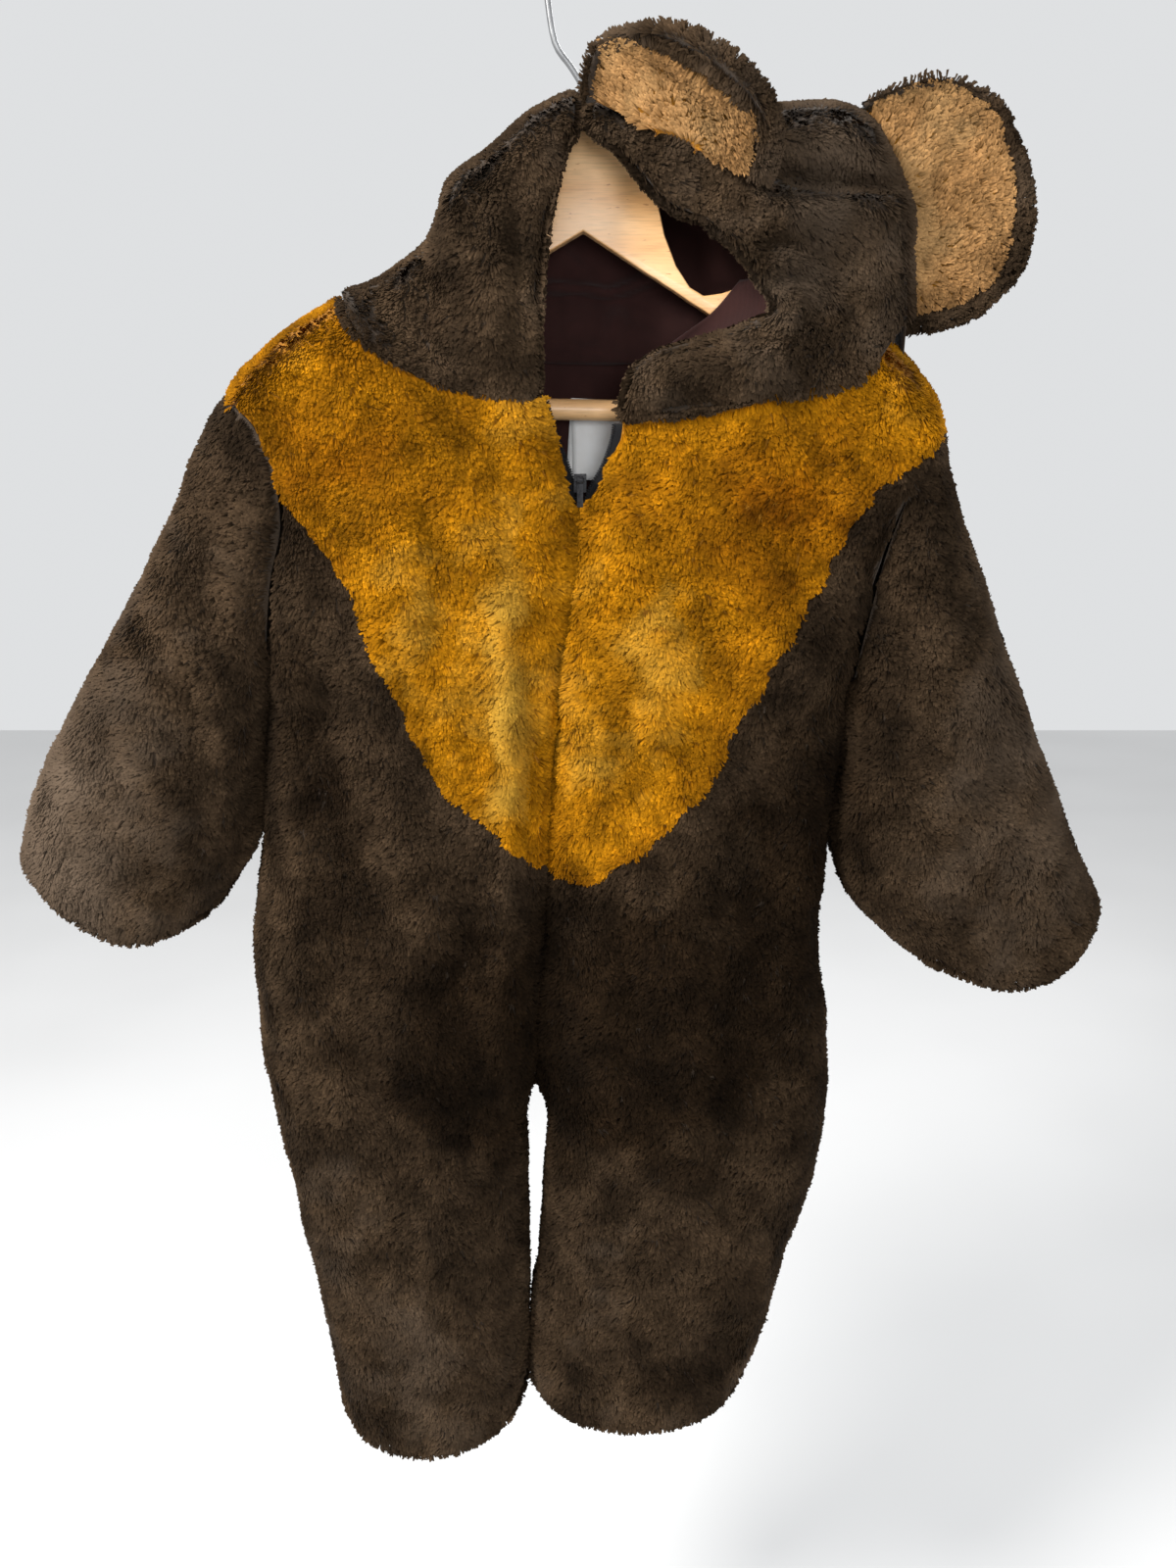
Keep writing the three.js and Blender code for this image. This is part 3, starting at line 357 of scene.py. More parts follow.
EARS = {
    RIGHT: dict(
        middle=(47, -54.2, -98),
        along=(0.9, -0.26, -0.436),
        up=(0.3, -0.74, 0.6),
        half_base=41,
        tall=38,
        rim=11,
        band=(0.6, 13),
        base=table("along rise", [-43, 0], [43, 0]),
    ),
    LEFT: dict(
        middle=(167.5, -10, -133.5),
        along=(0.268, 0, -0.963),
        up=(0.95, -0.14, 0.265),
        half_base=52,
        tall=63,
        rim=8,
        band=(0.6, 10),
        base=table(
            "along rise", [-52, 0.5], [-26, 9], [-13, 12], [0, 10.5], [26, 4], [52, 0.8]
        ),
    ),
}
LIP = table("drop left right", [165, 84, 95], [182, 69, 99], [196, 50, 97], [206, 36, 84])
PINCHES = table(
    "x drop", [-201, 224], [-190, 240], [198, 240], [176, 120], [-134, 177], [-112, 206]
)
SLIDER_DROP = 274
ZIP_END = 600
TAPE_WIDTH = 6
EAR_DEEP = 2.8
HOOK, WIRE = 21.5, 1.7  # radius of the hook's bend and of its wire
FLOOR_DROP, FLOOR_HALF = 1300, 4000


def folds_at(rows, x, drop):
    """Height of a table's folds at points."""
    height = np.zeros_like(x)
    for x0, drop0, x1, drop1, width, tall in zip(*rows.values()):
        dx, dz = x1 - x0, drop1 - drop0
        t = clamp(((x - x0) * dx + (drop - drop0) * dz) / (dx * dx + dz * dz))
        off = np.hypot(x - mix(x0, x1, t), drop - mix(drop0, drop1, t))
        height += tall * np.sin(np.pi * mix(0.12, 0.88, t)) * np.exp(-((off / width) ** 2))
    return height


def turn_at(x, inner, outer):
    return np.arccos(1 - 2 * clamp((x - inner) / (outer - inner)))


def x_at(turn, inner, outer):
    return mix(inner, outer, (1 - np.cos(turn)) / 2)


def bow(turn, rows, drop, sign):
    """Depth of a bowed section between its two edges."""
    share = (1 - np.cos(turn)) / 2
    blunt = mix(read(rows, "inRound", drop), read(rows, "outRound", drop), share)
    edge = mix(read(rows, "seam", drop), read(rows, "side", drop), share)
    return edge + sign * read(rows, "bulge", drop) * np.abs(np.sin(turn)) ** blunt


def inner_of(side, drop):
    return read(FRONT[side], "inner", drop) + SIGN[side] * CENTRE_GAP


def outer_of(side, drop):
    return read(FRONT[side], "outer", drop)


def back_inner_of(side, drop):
    below = ease((drop - 600) / 60)
    above = read(BACK, "centre", drop) + SIGN[side] * CENTRE_GAP
    return mix(above, inner_of(side, drop), below)


def armhole_dip(drop, off):
    """Depth that the armhole's seam draws in, on both sides of it."""
    along = ease((drop - 262) / 40) * (1 - ease((drop - 392) / 20))
    return 6 * along * np.exp(-((off / 7) ** 2))


def front_depth(side, x, drop, fine=True):
    turn = turn_at(x, inner_of(side, drop), outer_of(side, drop))
    fade = np.sqrt(np.abs(np.sin(turn)))
    height = folds_at(FOLDS, x, drop)
    if fine:
        height = height + 1.4 * folds_at(CREASES, x, drop)
    depth = bow(turn, FRONT[side], drop, -1) - height * fade
    if fine:
        depth = depth + armhole_dip(drop, outer_of(side, drop) - x)
    roof = read(SHOULDER[side], "drop", np.abs(x))
    return mix(-RIDGE_GAP, depth, arch(drop - roof, SHOULDER_ARCH))


def back_depth(side, x, drop, fine=False):
    turn = turn_at(x, back_inner_of(side, drop), outer_of(side, drop))
    roof = read(SHOULDER[side], "drop", np.abs(x))
    depth = bow(turn, BACK, drop, 1)
    if fine:
        depth = depth + folds_at(BACK_CREASES, x, drop) * np.abs(np.sin(turn))
    return mix(RIDGE_GAP, depth, arch(drop - roof, SHOULDER_ARCH))


def hood_depth(x, drop, facing, fine=True):
    edge = read(HOOD_EDGE, "left", drop)
    turn = turn_at(x, HOOD_RIGHT - 5, edge)
    round_it = np.abs(np.sin(turn)) ** 0.5
    if facing == "front":
        crease = folds_at(HOOD_FOLDS, x, drop)
        if fine:
            crease = crease + folds_at(HOOD_CREASES, x, drop)
        depth = -6 - (read(HOOD_REACH, "front", x) * round_it + crease * round_it)
        sign = -1
    else:
        depth = -6 + (read(HOOD_REACH, "back", x) + 8) * round_it
        if fine:
            depth = depth + folds_at(HOOD_BACK_CREASES, x, drop) * round_it
        sign = 1
    roof = read(HOOD_ROOF, "drop", x)
    return mix(HOOD_RIDGE + sign * RIDGE_GAP, depth, arch(drop - roof, HOOD_ARCH))


def meet(edge, x_of, low, high):
    """The drop at which each column, whose x changes with the drop, meets an edge given by x."""
    low = np.full_like(x_of(0.0), low)
    high = np.full_like(low, high)
    for _ in range(40):
        drop = (low + high) / 2
        above = drop < edge(x_of(drop))
        low = np.where(above, drop, low)
        high = np.where(above, high, drop)
    return (low + high) / 2


def draw_in(c, by=0.06):
    return c - by * np.sin(2 * np.pi * c)


def stack(x, y, z):
    return np.stack(np.broadcast_arrays(x, y, z), axis=-1)


def spread(columns, rows):
    share = np.linspace(0, 1, columns + 1)[:, None]
    down = np.linspace(0, 1, rows + 1)[None, :]
    return share, down


def top_edge(side, necks, x_of):
    """The drop of a piece's top edge, along the neck and then the shoulder."""

    def edge(x):
        across = np.abs(x)
        neck = read(necks[side], "drop", across)
        return np.where(across < NECK_POINT[side], neck, read(SHOULDER[side], "drop", across))

    return meet(edge, x_of, 165, 300)


def front_column(side, share):
    turn = np.pi * draw_in(share)

    def x_of(drop):
        return x_at(turn, inner_of(side, drop), outer_of(side, drop))

    inner, outer, dip = HEM[side]
    top = top_edge(side, NECK, x_of)
    bib = meet(drop_at(BIB[side]), x_of, 230, 560)
    return x_of, top, bib, mix(inner, outer, share) + dip * np.sin(turn)


def bib_grid(side, columns=44, rows=56):
    share, down = spread(columns, rows)
    x_of, top, low, _ = front_column(side, share)
    drop = mix(top, low, down**1.5)
    x = x_of(drop)
    return stack(x, front_depth(side, x, drop), -drop)


def front_grid(side, columns=44, rows=84):
    share, down = spread(columns, rows)
    x_of, _, top, low = front_column(side, share)
    drop = mix(top, low, down)
    x = x_of(drop)
    return stack(x, front_depth(side, x, drop), -drop)


def back_grid(side, columns=32, rows=76):
    share, down = spread(columns, rows)
    turn = np.pi * draw_in(share)

    def x_of(drop):
        return x_at(turn, back_inner_of(side, drop), outer_of(side, drop))

    top = top_edge(side, BACK_NECK, x_of)
    inner, outer, dip = HEM[side]
    low = mix(inner, outer, share) + dip / 2 * np.sin(turn)
    drop = mix(top, low, down**1.3)
    x = x_of(drop)
    return stack(x, back_depth(side, x, drop, fine=True), -drop)


def sleeve_grid(side, columns=72, rows=40):
    share, along = spread(columns, rows)
    rows_ = SLEEVE[side]
    turn = np.pi * (1 - 2 * draw_in(share, 0.05))
    over = (1 + np.cos(turn)) / 2
    is_front = turn > 0
    value = {name: read(rows_, name, along) for name in list(rows_)[1:]}
    blunt = np.abs(np.sin(turn)) ** 0.8
    x = mix(value["underX"], value["overX"], over)
    z = mix(value["underDrop"], value["overDrop"], over)
    crease = folds_at(SLEEVE_CREASES, x, z) * blunt
    y = np.where(is_front, -value["front"] * blunt - crease, value["back"] * blunt - 0.7 * crease)
    chord_x = value["underX"] - value["overX"]
    chord_z = value["underDrop"] - value["overDrop"]
    chord = np.hypot(chord_x, chord_z)
    dip, low = CUFF[side]
    reach = np.where(is_front, dip, dip / 2) * clamp(along * 2.5 - 1.5) ** 2
    past = reach * np.sin(np.pi * (1 - over) ** low)
    x = x + SIGN[side] * chord_z / chord * past
    z = z - SIGN[side] * chord_x / chord * past
    drop = mix(rows_["underDrop"][0], rows_["overDrop"][0], over)
    hole_x = outer_of(side, drop) + SIGN[side] * 0.8
    in_front = front_depth(side, hole_x, drop, fine=False)
    hole_y = np.where(is_front, in_front, back_depth(side, hole_x, drop))
    away = ease(along / 0.3)
    y = mix(hole_y, y, away) - 3 * along * (1 - away)
    x = mix(hole_x, x, away)
    y = y + np.where(is_front, armhole_dip(drop, x - hole_x), 0)
    return stack(x, y, -mix(drop, z, away))


def hood_right_grid(columns=32, rows=36):
    share, up = spread(columns, rows)

    def x_of(drop):
        return mix(read(OPEN_RIGHT, "x", drop), HOOD_RIGHT, share)

    top = meet(drop_at(HOOD_ROOF), x_of, 60, 300)
    low = meet(lambda x: read(NECK[RIGHT], "drop", -x), x_of, 60, 300) - 1
    drop = mix(top, low, (1 - up) ** 1.6)
    x = x_of(drop)
    on_neck = np.minimum(front_depth(RIGHT, x, low), HOOD_RIDGE - RIDGE_GAP)
    depth = hood_depth(x, drop, "front")
    return stack(x, mix(depth, on_neck, ease(1 - (low - drop) / 30)), -drop)


def crowded(share, first, by):
    """Columns that crowd towards the far side, as on a half round that starts part of the way."""
    turn = mix(first * np.pi, np.pi, draw_in(share, by))
    start = (1 - math.cos(first * math.pi)) / 2
    return ((1 - np.cos(turn)) / 2 - start) / (1 - start)


def hood_left_grid(columns=52, rows=56):
    share, up = spread(columns, rows)
    place = crowded(share, 0.35, 0.06)

    def x_of(drop):
        return mix(read(OPEN_LEFT, "x", drop), read(HOOD_EDGE, "left", drop), place)

    top = meet(drop_at(HOOD_ROOF), x_of, 60, 300)
    low = meet(drop_at(HOOD_LOW), x_of, 170, 300)
    seated = 1 - ease((x_of(low) - 85) / 30)
    rolled = seated * HOOD_ROLL * np.sin(np.pi * clamp(up / 0.2)) * (up < 0.2)
    drop = mix(low, top, 1 - (1 - up) ** 1.4) + rolled
    x = x_of(drop)
    on_neck = front_depth(LEFT, x, low)
    lift = mix(1, np.sin(np.pi / 2 * clamp(up / 0.14)), seated)
    return stack(x, mix(on_neck, hood_depth(x, drop, "front"), lift), -drop)


def back_at(x, drop):
    return np.where(x < 0, back_depth(RIGHT, x, drop), back_depth(LEFT, x, drop))


def hood_back_depth(x, drop, low, fine=False):
    on_neck = np.maximum(back_at(x, low), HOOD_RIDGE + RIDGE_GAP)
    seated = ease(1 - (low - drop) / 30) * (1 - ease((x - 104) / 16))
    return mix(hood_depth(x, drop, "back", fine), on_neck, seated)


def hood_back_grid(columns=52, rows=32):
    share, up = spread(columns, rows)
    place = crowded(share, 0.2, 0.05)

    def x_of(drop):
        return mix(HOOD_RIGHT, read(HOOD_EDGE, "left", drop), place)

    top = meet(drop_at(HOOD_ROOF), x_of, 60, 300)
    low = meet(drop_at(HOOD_BACK_LOW), x_of, 60, 300)
    drop = mix(top, low, (1 - up) ** 1.6)
    x = x_of(drop)
    return stack(x, hood_back_depth(x, drop, low, fine=True), -drop)


def hood_lining_grid(columns=72, rows=48):
    share, up = spread(columns, rows)
    x = mix(-92, 128, share) + 0 * up
    low = read(HOOD_BACK_LOW, "drop", x)
    past = mix(12, -8, ease((np.abs(x) - 84) / 20))
    drop = mix(low + past, read(HOOD_ROOF, "drop", x) + 18, up)
    depth = np.where(drop > low, back_at(x, drop), hood_back_depth(x, drop, low))
    points = stack(x, depth, -drop)
    points = moved(points, PLUSH + 3.6)
    points[..., 1] -= np.maximum(folds_at(LINING_FOLDS, x, drop), -1.5)
    return points


def neck_lining_grid(columns=60, rows=32):
    share, up = spread(columns, rows)
    x = mix(-100, 98, share) + 0 * up
    neck = np.where(
        x < 0,
        read(BACK_NECK[RIGHT], "drop", np.abs(x)),
        read(BACK_NECK[LEFT], "drop", np.abs(x)),
    )
    drop = mix(330, neck + 1.2, up)
    points = moved(stack(x, back_at(x, drop), -drop), PLUSH + 1.1)
    points[..., 1] -= np.maximum(folds_at(LINING_FOLDS, x, drop), 0)
    return points


def unit(v):
    return v / np.maximum(np.linalg.norm(v, axis=-1, keepdims=True), 1e-9)


def dot(a, b):
    return (a * b).sum(-1, keepdims=True)


def ear_point(ear, a, h, n):
    along = unit(np.array(ear["along"], float))
    up = np.array(ear["up"], float)
    up = unit(up - along * up.dot(along))
    face = np.cross(along, up)
    parts = a[..., None] * along + h[..., None] * up
    return np.array(ear["middle"], float) + parts + n[..., None] * face


def ear_place(ear, share, out, beyond):
    t = np.pi * share
    a = -ear["half_base"] * np.cos(t) * mix(0.25, 1, out) * (1 + 0.2 * np.sin(t) * out)
    h = ear["tall"] * clamp(np.sin(t)) ** 0.7 * out
    h = h + (1 - h / ear["tall"]) * (read(ear["base"], "rise", a) - 4)
    away_a, away_h = a, h - 0.25 * ear["tall"]
    size = np.maximum(np.hypot(away_a, away_h), 1e-9)
    return a + away_a / size * beyond, h + np.maximum(away_h / size, 0) * beyond


def ear_swell(share, out):
    return np.sin(np.pi * share) * np.sin(np.pi * (0.1 + 0.8 * out))


def ear_band(ear, share):
    """Width of the brown that comes round in front of the tan."""
    narrow, broad = ear["band"]
    return mix(narrow, broad, ease((share - 0.12) / 0.5))


def ear_face_grid(side, columns=36, rows=18):
    ear = EARS[side]
    share, out = spread(columns, rows)
    a, h = ear_place(ear, share, out, out * (ear["rim"] - 2.4 - ear_band(ear, share)))
    return ear_point(ear, a, h, 4.6 - 4.4 * ear_swell(share, out))


def ear_back_grid(side, columns=36, rows=32):
    ear = EARS[side]
    share, out = spread(columns, rows)
    flat, rim = 0.54, 0.8
    curl = clamp((out - flat) / (rim - flat)) * np.pi / 2
    inside = np.minimum(out / flat, 1)
    inward = clamp((out - rim) / (1 - rim))
    beyond = ear["rim"] * np.sin(curl) - inward * (ear_band(ear, share) + 2)
    a, h = ear_place(ear, share, inside, beyond)
    front = 9 * (1 - np.cos(curl)) + 1.6 * np.sin(np.pi * clamp(inward * 1.2)) - 1.2 * inward
    return ear_point(ear, a, h, -4 - 5 * ear_swell(share, inside) + front)


def tape_grid(side, columns=6, rows=90):
    share, down = spread(columns, rows)
    sign = SIGN[side]
    drop = mix(NECK[side]["drop"][0] + 2, ZIP_END, down)
    opened = 1 - ease((drop - SLIDER_DROP) / 12)
    edge = read(FRONT[side], "inner", drop)
    x = edge + sign * (mix(0.3, -2.6, opened) + share * TAPE_WIDTH)
    return stack(x, read(FRONT[side], "seam", drop) + PLUSH + 0.3, -drop)


def run_of(points, axis):
    """The way that a grid's columns or rows run at each point."""
    points = np.moveaxis(points, axis, 0)
    run = np.empty_like(points)
    run[1:-1] = points[2:] - points[:-2]
    run[0] = points[1] - points[0]
    run[-1] = points[-1] - points[-2]
    return np.moveaxis(run, 0, axis)


def normals(points):
    return unit(np.cross(run_of(points, 0), run_of(points, 1)))


def moved(points, by):
    by = np.asarray(by, float)
    return points + normals(points) * (by[..., None] if by.ndim else by)


def ease_apart(inner, outer, turns=40):
    """Where cloth bends tighter than it was moved, eases its points apart, so that none cross."""
    for _ in range(turns):
        for axis in (0, 1):
            a, b = np.moveaxis(inner, axis, 0), np.moveaxis(outer, axis, 0)
            for start in (0, 1):
                p, q = a[start:-1:2], a[start + 1 :: 2]
                way = b[start + 1 :: 2] - b[start:-1:2]
                long = np.maximum(dot(way, way), 1e-9)
                run = dot(q - p, way) / long
                lack = np.maximum(0.2 - run, 0) / 2
                p -= way * lack
                q += way * lack
    return inner


def drawn_back(points, by):
    """The grid with its last edge drawn back along the cloth."""
    step = np.linalg.norm(np.diff(points, axis=1), axis=-1)
    run = np.concatenate([np.zeros((len(points), 1)), np.cumsum(step, axis=1)], axis=1)
    shorter = np.empty_like(points)
    for row, along, old in zip(shorter, run, points):
        to = along * (1 - by / along[-1])
        for axis in range(3):
            row[:, axis] = np.interp(to, along, old[:, axis])
    return shorter


def turned_in(points, sense, edge, radius=6.0):
    """The grid with one free edge rolled in, as a hem is."""
    out = -sense * normals(points)
    if edge == "first column":
        points, out = points[::-1].transpose(1, 0, 2), out[::-1].transpose(1, 0, 2)
    away = unit(points[:, -1] - points[:, -3])
    points = drawn_back(points, radius)
    start = points[:, -1]
    rows = [start]
    for degrees in (25, 50, 75, 100, 130, 160):
        angle = math.radians(degrees)
        round_it = away * math.sin(angle) - out[:, -1] * (1 - math.cos(angle))
        rows.append(start + radius * round_it)
    points = np.concatenate([points[:, :-1], np.stack(rows, axis=1)], axis=1)
    if edge == "first column":
        points = points.transpose(1, 0, 2)[::-1]
    return points


def backing_depth(points, edge):
    """The plush is thinner where two seams and a roof run together, and round a turned edge."""
    x, z = points[..., :1], points[..., 2:]
    near = np.min(np.hypot(x - PINCHES["x"], z + PINCHES["drop"]), axis=-1)
    deep = DEEP * clamp(near / 25, 0.35, 1)
    if edge == "last row":
        deep[:, -6:] *= 0.72
    if edge == "first column":
        deep[:6] *= 0.72
    return deep


def upward(out):
    """How far a surface faces up: the pile is shorter there, on ridges."""
    return ease((out[..., 2] - 0.35) / 0.45)


def link(obj):
    bpy.context.scene.collection.objects.link(obj)
    return obj


def add_mesh(name, vertices, faces, material, uv=None):
    mesh = bpy.data.meshes.new(name)
    mesh.from_pydata((np.asarray(vertices) * MM).tolist(), [], faces)
    if uv is not None:
        layer = mesh.uv_layers.new(name="OFBake")
        loops = np.empty(len(mesh.loops), np.int32)
        mesh.loops.foreach_get("vertex_index", loops)
        layer.data.foreach_set("uv", np.asarray(uv, np.float32)[loops].ravel())
    mesh.polygons.foreach_set("use_smooth", [True] * len(mesh.polygons))
    mesh.materials.append(material)
    mesh.validate()
    return link(bpy.data.objects.new(name, mesh))


def shell(name, outer, inner, sense, material):
    """A thin closed wall between two grids."""
    m, n = outer.shape[0] - 1, outer.shape[1] - 1
    layer = (m + 1) * (n + 1)
    index = np.arange(layer).reshape(m + 1, n + 1)
    a, b, c, d = index[:-1, :-1], index[1:, :-1], index[1:, 1:], index[:-1, 1:]
    top = np.stack([a, b, c, d], axis=-1).reshape(-1, 4)
    low = np.stack([a, d, c, b], axis=-1).reshape(-1, 4) + layer
    walls = []
    for rim in (index[:, 0], index[-1]):
        p, q = rim[:-1], rim[1:]
        walls.append(np.stack([p, p + layer, q + layer, q], axis=-1))
    for rim in (index[:, -1], index[0]):
        p, q = rim[:-1], rim[1:]
        walls.append(np.stack([p, q, q + layer, p + layer], axis=-1))
    faces = np.concatenate([top, low, *walls])
    if sense > 0:
        faces = faces[:, ::-1]
    u = np.linspace(0.02, 0.98, m + 1)[:, None] + 0 * index
    v = np.linspace(0.02, 0.98, n + 1)[None, :] + 0 * index
    uv = np.concatenate([stack2(u / 2, v), stack2(0.5 + u / 2, v)])
    points = np.concatenate([outer.reshape(-1, 3), inner.reshape(-1, 3)])
    return add_mesh(name, points, faces.tolist(), material, uv)


def tube(name, path, radius, sides, material):
    """A closed tube along a path, in millimetres; the radius may change along it."""
    radius = np.broadcast_to(np.asarray(radius, float), len(path))
    way = unit(np.gradient(path, axis=0))
    side = unit(np.cross(way, np.array([0.05, 1.0, 0.03])))
    other = np.cross(way, side)
    angle = 2 * np.pi * np.arange(sides) / sides
    ring = np.cos(angle)[:, None] * side[:, None] + np.sin(angle)[:, None] * other[:, None]
    points = path[:, None] + radius[:, None, None] * ring
    index = np.arange(len(path) * sides).reshape(len(path), sides)
    a, b = index[:-1], index[1:]
    faces = np.stack([a, np.roll(a, -1, 1), np.roll(b, -1, 1), b], axis=-1).reshape(-1, 4).tolist()
    faces += [index[0][::-1].tolist(), index[-1].tolist()]
    along = np.linspace(0, 1, len(path))[:, None] + 0 * index
    around = (np.arange(sides) / sides)[None, :] + 0 * index
    return add_mesh(name, points.reshape(-1, 3), faces, material, stack2(around, along))


def smooth_path(points, steps=8):
    """A Catmull-Rom curve through points."""
    p = np.array(points, float)
    p = np.concatenate([2 * p[:1] - p[1:2], p, 2 * p[-1:] - p[-2:-1]])
    t = (np.arange(steps) / steps)[None, :, None]
    a, b, c, d = p[:-3, None], p[1:-2, None], p[2:-1, None], p[3:, None]
    bend = (2 * a - 5 * b + 4 * c - d) * t**2 + (3 * b - a - 3 * c + d) * t**3
    return np.concatenate([(b + ((c - a) * t + bend) / 2).reshape(-1, 3), p[-2:-1]])


def tied(piece, slot, solid=None, body="costume"):
    """Ties a piece to its body and hides the solid that it replaces; the slot is not used."""
    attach(piece, body)
    if solid:
        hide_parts(solid)
    return piece


def rounded(name, width, material, slot, body="costume"):
    """A copy of a rigid CAD node whose sharp edges are softened."""
    form = bmesh.new()
    form.from_mesh(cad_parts[name].data)
    bmesh.ops.remove_doubles(form, verts=form.verts, dist=0.01 * MM)
    flat = math.radians(1.5)
    bmesh.ops.dissolve_limit(form, angle_limit=flat, verts=form.verts, edges=form.edges)
    mesh = bpy.data.meshes.new(name + "_form")
    form.to_mesh(mesh)
    form.free()
    mesh.polygons.foreach_set("use_smooth", [True] * len(mesh.polygons))
    mesh.materials.clear()
    mesh.materials.append(material)
    piece = link(bpy.data.objects.new(name + "_form", mesh))
    edge = piece.modifiers.new("edge", "BEVEL")
    edge.width = width * MM
    edge.segments = 3
    edge.limit_method = "ANGLE"
    edge.angle_limit = math.radians(32)
    edge.harden_normals = True
    tied(piece, slot, name, body)


def stack2(u, v):
    return np.stack([u.ravel(), v.ravel()], axis=1)


def waves(seed, length, count=9):
    """Smooth noise in space, from -1 to 1, whose patches are about as long as given."""
    rng = np.random.default_rng(seed)
    way = unit(rng.normal(size=(count, 3)))
    size = 2 * np.pi / (length * rng.uniform(1.2, 3.2, size=(count, 1)))
    phase = rng.uniform(0, 2 * np.pi, count)

    def at(p):
        return np.tanh(np.sin(p @ (way * size).T + phase).sum(-1) / math.sqrt(count / 2))

    return at


swirl = waves(11, 26)
ruffle = waves(12, 9)
raised = waves(13, 20)
patches = waves(14, 12)
blotches = waves(15, 30)
drift = [waves(seed, 4.2) for seed in (21, 22, 23)]
LOCK_LONG, LOCK_WIDE = 6.6, 1.35
LEAN = 1.13  # how far a lock bends over from upright, in radians
GATHER = 0.55  # how far its end is drawn to the middle of its clump
BACK_SHARE = 0.42  # the locks are fewer and wider where the back faces, by this share
BODY_Y, BODY_X = np.array([0.0, 1.0, 0.0]), np.array([1.0, 0.0, 0.0])
CLUMP = np.array([3.3, 3.3, 5.2])  # the locks stand together in clumps, taller than wide
TWIST = np.array([[0.8, 0.5, 0.33], [-0.55, 0.83, 0.1], [-0.22, -0.26, 0.94]])


def clump_centres(root):
    """The middle of the clump that each lock stands in: a cell of a grid that is bent all over."""
    bent = root @ TWIST + 3.4 * np.stack([wave(root) for wave in drift], axis=1)
    cell = np.floor(bent / CLUMP).astype(np.int64) + 4096
    key = (cell[:, 0] * 8192 + cell[:, 1]) * 8192 + cell[:, 2]
    _, which, many = np.unique(key, return_inverse=True, return_counts=True)
    total = np.stack([np.bincount(which, root[:, axis]) for axis in range(3)], axis=1)
    return (total / many[:, None])[which]


# Soft patches where the pile lies crushed (dark) or brushed up (light), mixed with painted shade
# and painted highlights: the belly and the torso's sides are painted in shade, the outer right
# sleeve is painted lit, and a painted highlight runs down the ridge beside the zip.
PAINTED_LIGHT_AND_NAP = table(
    "x drop wide tall value",
    [-60, 600, 90, 105, -0.48], [60, 600, 95, 110, -0.5], [-160, 440, 34, 100, -0.36],
    [128, 470, 40, 110, -0.46], [-330, 460, 55, 100, 0.52], [-210, 430, 30, 80, -0.06],
    [258, 440, 55, 110, 0.2], [178, 380, 22, 90, -0.2], [-100, 175, 55, 45, -0.16],
    [135, 130, 45, 50, 0.22], [125, 98, 16, 12, 0.12], [-150, 700, 30, 60, 0.08],
    [-104, 640, 20, 40, -0.16], [-112, 820, 34, 40, 0.12], [-70, 780, 22, 50, -0.1],
    [10, 730, 26, 46, 0.14], [84, 790, 30, 40, -0.14], [40, 838, 50, 12, -0.2],
    [-140, 262, 60, 40, -0.3], [110, 285, 80, 44, -0.36], [-46, 410, 9, 100, 0.3],
    [-4, 440, 34, 60, 0.12], [-98, 330, 12, 60, 0.16], [40, 360, 22, 60, 0.1],
)


def painted_light_and_nap_at(p):
    change = np.zeros(len(p))
    for x, drop, wide, tall, value in zip(*PAINTED_LIGHT_AND_NAP.values()):
        change += value * np.exp(-(((p[:, 0] - x) / wide) ** 2) - ((p[:, 2] + drop) / tall) ** 2)
    return change


def loose_faces(name, vertices, faces, bend, tone, uv, material):
    """A mesh of triangles that share no points, with normals and a stored colour of their own."""
    mesh = bpy.data.meshes.new(name)
    mesh.vertices.add(len(vertices))
    mesh.vertices.foreach_set("co", (vertices * MM).ravel())
    mesh.loops.add(faces.size)
    mesh.loops.foreach_set("vertex_index", faces.ravel().astype(np.int32))
    mesh.polygons.add(len(faces))
    mesh.polygons.foreach_set("loop_start", np.arange(0, faces.size, 3, dtype=np.int32))
    mesh.update(calc_edges=True)
    mesh.polygons.foreach_set("use_smooth", np.ones(len(faces), bool))
    colour = mesh.color_attributes.new("pile", "FLOAT_COLOR", "POINT")
    colour.data.foreach_set("color", tone.ravel())
    layer = mesh.uv_layers.new(name="OFBake")
    layer.data.foreach_set("uv", np.clip(uv, 0, 1).astype(np.float32)[faces.ravel()].ravel())
    mesh.materials.append(material)
    mesh.normals_split_custom_set_from_vertices(bend.tolist())
    return link(bpy.data.objects.new(name, mesh))


